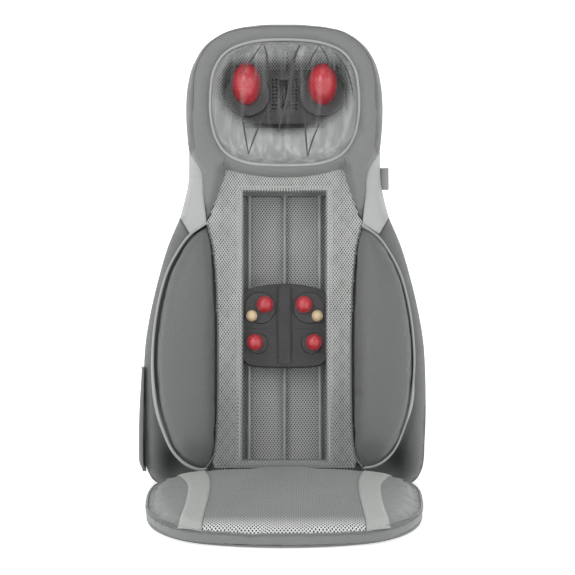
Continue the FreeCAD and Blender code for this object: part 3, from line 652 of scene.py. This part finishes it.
lamp("key", (-1.5, -2.2, 2.3), (1.6, 1.6), 26)
lamp("fill", (1.9, -2.0, 1.5), (1.6, 1.6), 5)
lamp("top", (0.0, -0.4, 2.8), (1.8, 1.4), 8)
lamp("rear", (0.4, 2.4, 2.0), (1.8, 1.8), 12)

paper = Shade("floor_paper", 0.9, spec=0.1)
paper.b.inputs["Base Color"].default_value = (0.9, 0.9, 0.9, 1)
paper.b.inputs["Emission Color"].default_value = (1, 1, 1, 1)
paper.b.inputs["Emission Strength"].default_value = 0.5
# the floor is a wide bowl: distance from the middle and height of its profile, m
FLOOR_DROP = 0.0005
bowl = [(0.02, 0), (6.0, 0), (7.2, 0.12), (8.1, 0.6), (8.6, 1.5), (8.8, 2.6), (8.8, 5.0)]
line = curve([(a, b, 0) for a, b in bowl], step=0.3)
around = 72
verts = [Vector((p.x * math.cos(math.tau * k / around), p.x * math.sin(math.tau * k / around), p.y - FLOOR_DROP))
         for k in range(around) for p in line]
n = len(line)
faces = [(k * n + i, k * n + i + 1, (k + 1) % around * n + i + 1, (k + 1) % around * n + i)
         for k in range(around) for i in range(n - 1)]
floor = make("floor", verts, faces, paper.m, body=None)
bpy.context.scene.view_settings.view_transform = "Standard"


# ---------------------------------------------------------------- neck hood
TOP_RUN = mirrored(BACK_EDGE) + [(0, 725)] + BACK_EDGE
top_line = curve(xyz(TOP_RUN))
legs_out, legs_in = [[curve(xyz(points, side)) for side, _ in SIDES] for points in (LEG_OUTER, LEG_INNER)]
under_line = curve(xyz(UNDER))


hood_loop = runs(TOP_RUN, LEG_OUTER, LEG_INNER, UNDER, mirrored(LEG_INNER), mirrored(LEG_OUTER))
window_loop = curve(xyz(WINDOW_EDGE + mirrored(WINDOW_EDGE[1:-1])), closed=True)


def hood_front(x, v, d):
    """Rounds over at the outer edge, the legs, the lower inside edge and the window's rim."""
    q = np.stack([x, v], 1)
    outer = away(q, top_line, False)
    leg = np.minimum(*[away(q, k, False) for k in legs_out])
    inner = np.min([away(q, k, False) for k in legs_in + [under_line]], 0)
    hole = away(q, window_loop)
    h = np.minimum(-24 + 51 * dome(outer, 17), -2 + 27 * dome(leg, 14))
    h = np.minimum(h, 0 + 25 * dome(inner, 13))
    return np.minimum(h, 13 + 14 * dome(hole, 13))


PAD_REAR = -29.0  # w of the web that the pads lie on


def pad_rear(x, v, d):
    return 0 * x + PAD_REAR


HOLLOW_OUTER, HOLLOW_INNER, HOLLOW_FOOT, HOLLOW_W = 14, 9, 477, 10.5  # its distance from the edges, foot and floor


def hood_rear(x, v, d):
    """The pad is hollow round the neck tub, where the neck carriage travels."""
    q = np.stack([x, v], 1)
    top = away(q, top_line, False)
    rest = np.min([away(q, k, False) for k in legs_out + legs_in + [under_line]], 0)
    return np.where((top > HOLLOW_OUTER) & (rest > HOLLOW_INNER) & (v > HOLLOW_FOOT), HOLLOW_W, PAD_REAR)


hood = solid("neck_hood_pad", [hood_loop, window_loop], hood_front, hood_rear, HOOD, slot="hood_cover")
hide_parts("neck_hood")
puff(hood, voxel=0.005, cap=0.004)

SIDE_BAND = 12  # width of the hood's darker border
hood_tree = surface(hood)
side_seam = curve(xyz(inset(TOP_RUN, SIDE_BAND)[1:-1]))
centres = np.array([upright(f.center) for f in hood.data.polygons])
edge_d = away(centres, top_line, False)
hood.data.materials.append(HOOD_SIDE)
for f, dd in zip(hood.data.polygons, edge_d):
    if dd < SIDE_BAND:
        f.material_index = 1
tube("hood_side_seam", [on_back(hood_tree, q.x, q.y, 0.3) for q in side_seam], 0.0011, HOOD_SIDE)
for side, label in SIDES:
    seam = curve(xyz(((96, 496), (98.5, 490), (99, 484)), side), step=1.5)
    tube(f"hood_leg_seam_{label}", [on_back(hood_tree, q.x, q.y, 0.1) for q in seam], 0.0008, HOOD_SIDE)


def ring_line(loop, distance):
    return inset([(q.x, q.y) for q in loop], distance)


def rolling(values, reach, how):
    """Values round a loop, each replaced from its neighbours within reach."""
    return how([np.roll(values, k) for k in range(-reach, reach + 1)], axis=0)


welt_line = ring_line(window_loop, -3.2)
heights = np.array([(on_back(hood_tree, x, v, 0.6) - back_point(x, v, 0)).dot(OUT) * 1000 for x, v in welt_line])
heights = rolling(rolling(heights, 9, np.median), 4, np.mean)
tube("window_welt", [back_point(x, v, h) for (x, v), h in zip(welt_line, heights)], 0.0026, LIGHT, closed=True)

# ---------------------------------------------------------------- shoulder panels, side flaps
for side, label in SIDES:
    sil = curve(xyz(SHOULDER_EDGE, side))
    loop = runs(SHOULDER_EDGE, [(171, 405), (153, 374)], [(153, 374), (126.5, 391)],
                [(126.5, 391), (131, 437), (132, 467), (140, 488), (157, 515)], side=side)
    panel = solid(f"shoulder_panel_{label}", [loop],
                  lambda x, v, d: np.minimum(-26 + 33 * dome(away(np.stack([x, v], 1), sil, False), 20), 7.5),
                  pad_rear, LIGHT, slot="light_cover")
    sil2 = curve(xyz(FLAP_EDGE, side))
    beside = curve(xyz(BOLSTER_OUTER, side))
    loop = runs(FLAP_EDGE, [(180, -31), (120.5, -27)], [(120.5, -27), (120.5, -2)], FLAP_INNER[:-1],
                [(117.5, 353), (127, 380)], [(127, 380), (153, 374)], [(153, 374), (171, 405)], side=side)
    flap = solid(f"side_flap_{label}", [loop],
                 lambda x, v, d: -27 + 19.5 * dome(away(np.stack([x, v], 1), sil2, False), 17)
                 - 19 * np.exp(-away(np.stack([x, v], 1), beside, False) / 26) * np.clip((130 - v) / 110, 0, 1),
                 pad_rear, RECESS, slot="dark_cover")
    # painted shade: the flap darkens near the bolster's foot, where the bolster leaves it in shade
    here = np.array([upright(q.co) for q in flap.data.vertices])
    painted_shade_weight = np.exp(-((np.abs(here[:, 0]) - 186) / 24) ** 2 - ((here[:, 1] - 6) / 38) ** 2)
    flap.data.attributes.new("painted_shade", "FLOAT", "POINT").data.foreach_set("value", painted_shade_weight.astype(np.float32))
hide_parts("shoulder_panels")
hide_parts("side_flaps")

# ---------------------------------------------------------------- fabric boxing round the shell
edge = BACK_EDGE + [(158, 462), (170, 409)] + FLAP_EDGE[1:-1] + [(178, -32)]
closed = [(0, 725)] + edge + [(0, -32)] + mirrored(edge)
BOXING_FOOT = 0.0004
rings = []
for drop, w in ((1.5, -28.5), (0.6, -36), (0.6, -48), (1.6, -60), (4.0, -69), (8.5, -75.5), (14, -77.6)):
    pts = curve(xyz(inset(closed, drop)), closed=True, step=6)
    rings.append((pts, w))
count = min(len(p) for p, _ in rings)
verts = []
for pts, w in rings:
    for i in range(count):
        q = pts[int(i * len(pts) / count)]
        p = back_point(q.x, q.y, w)
        p.z = max(p.z, BOXING_FOOT)
        verts.append(p)
boxing = make("rear_boxing", verts, quads(len(rings), count, wrap=True), DARK, slot="dark_cover")
thicken(boxing, 0.0012)

# ---------------------------------------------------------------- bolsters
def toe(v):
    """Height limit that brings a bolster down at its foot."""
    return 1 + 0.6 * (v + 8)


for side, label in SIDES:
    loop = runs(BOLSTER_OUTER, BOLSTER_INNER, side=side)
    pad = solid(f"bolster_pad_{label}", [loop],
                lambda x, v, d: np.minimum(-1 + 31 * dome(d, 40), toe(v)),
                lambda x, v, d: 0 * x - 5.6, BOLSTER, soften=14, slot="bolster_cover", step=3.5)
    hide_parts(f"bolster_{label}")
    puff(pad, voxel=0.004, cap=0.005)
    outer = curve(xyz(BOLSTER_OUTER, side))
    bulge = 7.0 if side > 0 else 1.5
    low = [back_point(x, v, -7) for x, v in ring_line(outer, side * 2.5)]
    mid = [back_point(x + side * bulge * math.exp(-((v - 100) / 62) ** 2), v, 0)
           for x, v in ring_line(outer, side * 4.5)]
    high = [back_point(x, v, min(6, toe(v))) for x, v in ring_line(outer, side * 1.5)]
    band(f"gusset_low_{label}", low, mid, LIGHT)
    band(f"gusset_high_{label}", mid, high, LIGHT)
    tube(f"bolster_piping_{label}", high, 0.0019, PIPING)
    inner = curve(xyz(BOLSTER_INNER, side))
    tube(f"bolster_inner_piping_{label}",
         [back_point(q.x, q.y, min(5.5, toe(q.y))) for q in inner], 0.0013, DARK)

# ---------------------------------------------------------------- centre pad and mesh cover
def valley(x):
    """The cover dips at the two quilting lines beside the channel."""
    return -4.5 * np.exp(-((np.abs(x) - 96) / 7) ** 2)


CHANNEL_X, CHANNEL_TOP = 78.4, 454.4
pad_loop = runs(UNDER[::-1], NET_SIDE, NET_BOLSTER, [(113, 8), (CHANNEL_X, 8)],
                [(CHANNEL_X, 8), (CHANNEL_X, CHANNEL_TOP)], [(CHANNEL_X, CHANNEL_TOP), (-CHANNEL_X, CHANNEL_TOP)],
                [(-CHANNEL_X, CHANNEL_TOP), (-CHANNEL_X, 8)], [(-CHANNEL_X, 8), (-113, 8)],
                mirrored(NET_BOLSTER), mirrored(NET_SIDE))
centre = solid("centre_pad_foam", [pad_loop], lambda x, v, d: 3.4 + valley(x), pad_rear,
               BACKING, soften=0, slot="pad_foam")
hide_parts("centre_pad")

net_loop = runs(UNDER[::-1], NET_SIDE, NET_BOLSTER, [(113, 8), (113, 3)], [(113, 3), (-113, 3)],
                [(-113, 3), (-113, 8)], mirrored(NET_BOLSTER), mirrored(NET_SIDE))
NET_X, NET_V = 4.4, 6.4  # a diamond's width and height
NET_W, NET_THREAD = 4.9, 0.00105  # the net's w in mm, its threads' thickness in m
SHEER = 0.014  # how much of a thread shows over the carriage's run
cols, rows = int(130 / (NET_X / 2)), int(500 / (NET_V / 2))
lattice = {}
verts = []


def knot(i, j):
    if (i, j) not in lattice:
        x, v = i * NET_X / 2, j * NET_V / 2
        lattice[(i, j)] = len(verts)
        verts.append((x, v))
    return lattice[(i, j)]


cells = [(i, j) for i in range(-cols, cols) for j in range(0, rows) if (i + j) % 2 == 0]
mid = np.array([(i * NET_X / 2, (j + 1) * NET_V / 2) for i, j in cells])
faces = [(knot(i, j), knot(i + 1, j + 1), knot(i, j + 2), knot(i - 1, j + 1))
         for (i, j), ok in zip(cells, inside(mid, [net_loop])) if ok]
pts = [back_point(x, v, NET_W + float(valley(x))) for x, v in verts]
thread = Shade("net_thread", 0.7, sheen=0.1, spec=0.25)
vec = thread.space()
sep = thread.add("ShaderNodeSeparateXYZ")
thread.link(vec, sep.inputs[0])
thread.bump(thread.noise(vec, 1600.0), 0.3, 0.0002)
# over the carriage's run the threads are sheer, so the carriage shows
beyond = thread.ramp(thread.math("ABSOLUTE", sep.outputs[0]), 0.064, 0.070)
above = thread.ramp(sep.outputs[2], FOOT + 0.441, FOOT + 0.448)
below = thread.ramp(sep.outputs[2], FOOT + 0.006, FOOT + 0.014, 1.0, 0.0)
solid_part = thread.math("MAXIMUM", beyond, thread.math("MAXIMUM", above, below))
pale = thread.mix(thread.ramp(thread.noise(vec, 40.0), 0.3, 0.7), grey(206, 208, 207), grey(222, 224, 223))
# painted shade: the threads darken low on the back, towards the crease between the bolsters
low = thread.ramp(sep.outputs[2], FOOT + 0.04, FOOT + 0.22)
pale = thread.mix(low, grey(178, 180, 179), pale)
thread.colour(thread.mix(solid_part, grey(90, 92, 92), pale))
thread.link(thread.ramp(solid_part, 0.0, 1.0, SHEER, 1.0), thread.b.inputs["Alpha"])
net = make("mesh_cover_net", pts, faces, thread.m, slot="mesh", smooth=False)
b = bmesh.new()
b.from_mesh(net.data)
bmesh.ops.wireframe(b, faces=b.faces[:], thickness=NET_THREAD, offset=0.0, use_replace=True,
                    use_boundary=True, use_even_offset=True, use_relative_offset=False)
b.to_mesh(net.data)
b.free()
net.data.shade_smooth()
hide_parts("mesh_cover")

for side, label in SIDES:
    tube(f"channel_stitch_{label}", [back_point(side * 71.5, v, 5.6) for v in range(14, 447, 6)], 0.0006, THREAD)

# ---------------------------------------------------------------- window cloth over the neck nodes
def cloth_front(x, v, d):
    """The cloth bulges over the nodes, with ripples round its rim."""
    ripple = np.sin(np.arctan2(v - 600, x) * 18) * np.exp(-((d - 14) / 12) ** 2)
    return 15 + 35 * dome(d, 42) + 0.7 * ripple


VEIL_HALF_W, VEIL_HALF_H, VEIL_MID = 0.124, 0.094, 0.612  # the clear patch's half sizes and middle, m
cloth_edge = ring_line(window_loop, -1.5)
pts, tris = flat_mesh([[Vector(q) for q in cloth_edge]], 4.0)
d = away(pts, cloth_edge)
h = cloth_front(pts[:, 0], pts[:, 1], d)
veil = Shade("window_cloth", 0.4, sheen=0.05, spec=0.35)
vec = veil.space()
sep = veil.add("ShaderNodeSeparateXYZ")
veil.link(vec, sep.inputs[0])
dx = veil.math("DIVIDE", sep.outputs[0], VEIL_HALF_W)
dz = veil.math("DIVIDE", veil.math("SUBTRACT", sep.outputs[2], FOOT + VEIL_MID), VEIL_HALF_H)
rr = veil.math("SQRT", veil.math("ADD", veil.math("MULTIPLY", dx, dx), veil.math("MULTIPLY", dz, dz)))
streak = veil.add("ShaderNodeMapping")
streak.inputs["Scale"].default_value = (1, 1, 0.12)
veil.link(vec, streak.inputs["Vector"])
lines = veil.noise(streak.outputs["Vector"], 90.0, 2.0)
covered = veil.math("MAXIMUM", veil.ramp(rr, 0.74, 0.98, 0.02, 0.52),
                    veil.ramp(sep.outputs[2], FOOT + 0.636, FOOT + 0.668, 0.0, 0.42))
alpha = veil.math("ADD", covered, veil.ramp(lines, 0.45, 0.8, -0.01, 0.12), clamp=True)
veil.link(alpha, veil.b.inputs["Alpha"])
veil.colour(veil.mix(veil.ramp(lines, 0.3, 0.7), grey(172, 175, 174), grey(200, 202, 201)))
cloth = make("window_cloth_sheet", [back_point(p[0], p[1], z) for p, z in zip(pts, h)], tris,
             veil.m, slot="window_cloth")
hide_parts("neck_window_cloth")
cloth_tree = surface(cloth)
fold_shade = weave("cloth_fold", grey(74, 75, 75), 0.002)
FOLDS = [[(-35, 682), (-53, 652), (-72, 625)], [(-35, 682), (-29, 662), (-26, 622)],
         [(57, 680), (44, 655), (33, 621)], [(57, 680), (69, 654), (77, 622)],
         [(25, 679), (16, 655), (6, 592), (-11, 533)],
         [(-58, 499), (-65, 540), (-69, 581)], [(-58, 499), (-46, 530), (-32, 563)],
         [(37, 495), (34, 530), (33, 565)], [(37, 495), (47, 525), (58, 551)],
         [(80, 668), (101, 636), (113, 590)]]
WIDE_FOLD, WIDE_HALF, HALF = 4, 3.2, 1.2  # the wide fold's place in the list, and the folds' half widths
for k, f in enumerate(FOLDS):
    line = curve(xyz(f), step=3)
    n = len(line)
    left, right = [], []
    for i, q in enumerate(line):
        wide = (WIDE_HALF if k == WIDE_FOLD else HALF) * math.sin(math.pi * (0.12 + 0.84 * i / (n - 1))) + 0.15
        left.append(on_back(cloth_tree, q.x - wide, q.y, 0.5, 40))
        right.append(on_back(cloth_tree, q.x + wide, q.y, 0.5, 40))
    band(f"cloth_fold_{k + 1}", left, right, fold_shade, thick=0.0004)

# ---------------------------------------------------------------- lead screws with a three-start thread
SCREW_CORE, THREAD_HEIGHT, STARTS, LEAD = 3.1, 0.8, 3, 12


def threaded(name, v0, v1, w, body, replaced):
    verts = []
    rings_n = int((v1 - v0) / 0.8)
    seg = 18
    for k in range(rings_n + 1):
        v = v0 + (v1 - v0) * k / rings_n
        for q in range(seg):
            a = math.tau * q / seg
            r = SCREW_CORE + THREAD_HEIGHT * max(0.0, math.cos(STARTS * (a - math.tau * v / LEAD))) ** 0.6
            verts.append(back_point(r * math.cos(a), v, w + r * math.sin(a)))
    faces = quads(rings_n + 1, seg, wrap=True)
    faces.append(tuple(range(seg)))
    faces.append(tuple(rings_n * seg + q for q in range(seg)))
    o = make(name, verts, faces, M["steel"], body, "steel")
    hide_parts(replaced)


threaded("back_screw_thread", -3, 450.5, -56, "back_screw", "back_lead_screw")
threaded("neck_screw_thread", 478, 692.5, -46, "neck_screw", "neck_lead_screw")

# ---------------------------------------------------------------- seat
SEAT_TOP, SEAT_HALF, SEAT_DEEP = 38, 205, 398
SEAM_SIDE, SEAM_MORE = 3.5, 6.3  # the piping's inset at the sides, and how much more it is at the front
SKIRT_LOW, SKIRT_HIGH = 3.6, 17  # between these heights the boxing stands straight on the board


def arc_radius(half, rise):
    return (half ** 2 + rise ** 2) / (2 * rise)


def crown(x, y):
    """Height of the seat's top, arched from side to side and towards the front."""
    rs, rf = arc_radius(SEAT_HALF, 19), arc_radius(SEAT_DEEP, 18)
    side_z = SEAT_TOP - rs + np.sqrt(rs ** 2 - np.minimum(np.abs(x), 215) ** 2)
    front_z = SEAT_TOP - rf + np.sqrt(rf ** 2 - np.minimum(np.abs(y), 400) ** 2)
    return np.minimum(side_z, front_z)


seat_loop = curve(xyz(SEAT_EDGE + mirrored(SEAT_EDGE[1:-1])), closed=True)
seat_rim = curve(xyz(SEAT_EDGE[3:] + mirrored(SEAT_EDGE[3:-1])))


def seam_inset(y):
    """The piping runs close to the sides and comes in over the front."""
    t = min(1.0, max(0.0, (-230 - y) / 90))
    return SEAM_SIDE + SEAM_MORE * t * t * (3 - 2 * t)


def seat_top(x, y, d):
    rim = away(np.stack([x, y], 1), seat_rim, False)
    return crown(x, y) - 1 - 7 * (1 - dome(rim, 16))


seat = solid("seat_pad", [seat_loop], seat_top,
             lambda x, y, d: 0 * x + 3.2, WING, place=flat_point, step=5, soften=10, body="seat",
             slot="seat_cover")
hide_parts("seat_cushion")
puff(seat, voxel=0.005, cap=0.005)
at = np.array([q.co for q in seat.data.vertices]) * 1000
far = away(at[:, :2], seat_loop)
rim = nearest(at[:, :2], seat_loop)
inwards = (at[:, :2] - rim) / np.maximum(far, 0.01)[:, None]
inwards[~inside(at[:, :2], [seat_loop])] *= -1
skirt = (at[:, 2] > SKIRT_LOW) & (at[:, 2] < SKIRT_HIGH) & (far < 12) & (at[:, 1] < -25)
depth = 0.6 + 1.6 * ((SKIRT_HIGH - at[:, 2]) / (SKIRT_HIGH - SKIRT_LOW)) ** 2
at[skirt, :2] = (rim + inwards * depth[:, None])[skirt]
at[:, 2] = np.maximum(at[:, 2], 3.1)
at[:, 1] = np.minimum(at[:, 1], -4.5)
for q, c in zip(seat.data.vertices, at):
    q.co = c * 0.001
STRIPE_IN = [(128, -8), (115, -103), (112, -212), (115, -321), (116, -374)]
STRIPE_OUT = [(172, -16), (150, -110), (145, -210), (146, -300), (151, -352)]
seat_tree = surface(seat)
mid_line = (np.array(STRIPE_IN) + np.array(STRIPE_OUT)) / 2
seat_c = np.array([f.center * 1000 for f in seat.data.polygons])
seat_d = away(seat_c[:, :2], seat_loop)
seat.data.materials.append(SEAT_MESH)
seat.data.materials.append(BOXING)
limit_x = np.interp(seat_c[:, 1], mid_line[::-1, 1], mid_line[::-1, 0])
for f, c, dd, lx in zip(seat.data.polygons, seat_c, seat_d, limit_x):
    if dd < seam_inset(c[1]) + 0.4 and not (c[1] > -20 and abs(c[0]) < 180):
        f.material_index = 2
    elif abs(c[0]) < lx:
        f.material_index = 1


STRIPE_POINTS = 90
STRIPE_SUNK, STRIPE_LIFT = -0.4, 1.0  # heights over the pad of a stripe's two edges and of the rest


def stripe(name, lines):
    """Strip that lies on the seat: lines of (x, y) are dropped on to it."""
    verts = []
    for k, l in enumerate(lines):
        rim = k in (0, len(lines) - 1)
        verts += [on_seat(seat_tree, *q, STRIPE_SUNK if rim else STRIPE_LIFT) for q in l]
    thicken(make(name, verts, quads(len(lines), STRIPE_POINTS), STRIPE, "seat", "seat_cover"), 0.0006)


def even(points, side):
    """Points evenly along a smooth line."""
    c = curve(xyz(points, side), step=1.0)
    run = np.concatenate([[0], np.cumsum([(b - a).length for a, b in zip(c, c[1:])])])
    out = []
    for s in np.linspace(0, run[-1], STRIPE_POINTS):
        i = min(int(np.searchsorted(run, s)), len(c) - 1)
        out.append((c[i].x, c[i].y))
    return out


def between(p, q, f):
    return p[0] + (q[0] - p[0]) * f, p[1] + (q[1] - p[1]) * f


for side, label in SIDES:
    ends = list(zip(even(STRIPE_IN, side), even(STRIPE_OUT, side)))
    stripe(f"seat_stripe_{label}",
           [[between(p, q, f) for p, q in ends] for f in (0, 0.03, 0.2, 0.4, 0.6, 0.8, 0.97, 1)])
    for f, tag in ((-0.01, "inner"), (1.01, "outer")):
        tube(f"stripe_seam_{tag}_{label}",
             [on_seat(seat_tree, *between(p, q, f)) for p, q in ends], 0.0007, BOXING, "seat")
    for f, tag in ((0.12, "inner"), (0.88, "outer")):
        stitches(f"stripe_stitches_{tag}_{label}",
                 [on_seat(seat_tree, *between(p, q, f), 1.3) for p, q in ends], "seat")
top_edge = [between(near, far_in, (seam_inset(near[1]) - SEAM_SIDE) / SEAM_MORE) for near, far_in in
            zip(ring_line(seat_loop, SEAM_SIDE), ring_line(seat_loop, SEAM_SIDE + SEAM_MORE))]
top_edge = [q for q in top_edge if not (q[1] > -16 and abs(q[0]) < 150)]
split_at = max(range(len(top_edge)), key=lambda i: abs(top_edge[i][0] - top_edge[i - 1][0]))
top_edge = top_edge[split_at:] + top_edge[:split_at]
tube("seat_piping", [on_seat(seat_tree, x, y, 0.2) for x, y in top_edge], 0.0014, WING, "seat")

# strip of cover fabric that joins the back to the seat and bends at the crease
verts = []
profile = [(6.0, 44.0), (2.0, 41.6), (-1.2, 40.4), (-3.6, 39.9), (-6.2, 39.4), (-9.5, 38.4), (-13.0, 37.6)]
HINGE_HALF, cols_n = 112, 48
for y, z in profile:
    verts += [flat_point(-HINGE_HALF + 2 * HINGE_HALF * i / cols_n, y, z) for i in range(cols_n + 1)]
hinge = make("crease_strip", verts, quads(len(profile), cols_n + 1), BACKING, body=None, slot="dark_cover")
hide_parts("crease_hinge")
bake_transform(hinge)

# ---------------------------------------------------------------- side pocket, tab, straps
verts = []
section = [(-227.5, -10), (-231.5, -11.5), (-234.6, -18), (-236, -30), (-236.3, -42), (-235.6, -55), (-233, -64),
           (-229.5, -67.5), (-226.5, -68)]
levels = 28
POCKET_EDGE = -226.5  # x where the pocket meets the boxing
for k in range(levels + 1):
    v = -8 + 167 * k / levels
    belly = math.sin(math.pi * min(1.0, 0.25 + 0.75 * k / levels))
    foot = min(1.0, (k + 0.6) / 3.0)
    for x, w in section:
        reach = (x - POCKET_EDGE) * (0.55 + 0.45 * belly) * foot
        verts.append(back_point(POCKET_EDGE + reach, v - 0.4 * math.sin(w * 0.5), w))
across = len(section)
pocket = make("side_pocket_cloth", verts, quads(levels + 1, across), DARK, slot="dark_cover")
thicken(pocket, 0.0012)
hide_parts("side_pocket")
hem = tube("side_pocket_hem", [Vector(q) for q in verts[levels * across:]], 0.0014, PIPING)

verts = []
section = [(154, -30.4), (164, -29.2), (169.5, -28.6), (170.6, -30.0), (169.5, -31.4), (164, -31.8), (154, -32.2)]
levels = 13
for k in range(levels):
    verts += [back_point(x, 452 + 3 * k, w + 0.5 * math.sin(k * 0.5)) for x, w in section]
tab = make("side_tab_loop", verts, quads(levels, len(section)), weave("tab_weave", grey(150, 152, 152), 0.0022),
           slot="light_cover")
thicken(tab, 0.0008, 0)
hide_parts("side_tab")

STRAP_IN = 22  # x where a strap comes out of the shell
STRAP_ACROSS = (-19, -18.2, -9, 0, 9, 18.2, 19)
for v, half in ((430, 138), (150, 200)):
    for side in (-1, 1):
        verts = []
        steps = 30
        for k in range(steps + 1):
            x = side * (STRAP_IN + (half - STRAP_IN) * k / steps)
            lift = -79.2 - 1.1 * math.sin(math.pi * k / steps) if k else -79.0
            for dv in STRAP_ACROSS:
                verts.append(back_point(x, v + dv, lift + (0.5 if abs(dv) > 18.5 else 0)))
        strap = make(f"chair_strap_{v}_{'right' if side > 0 else 'left'}", verts,
                     quads(steps + 1, len(STRAP_ACROSS)), M["webbing"], slot="webbing")
        thicken(strap, 0.0014, 0)
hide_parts("chair_straps")
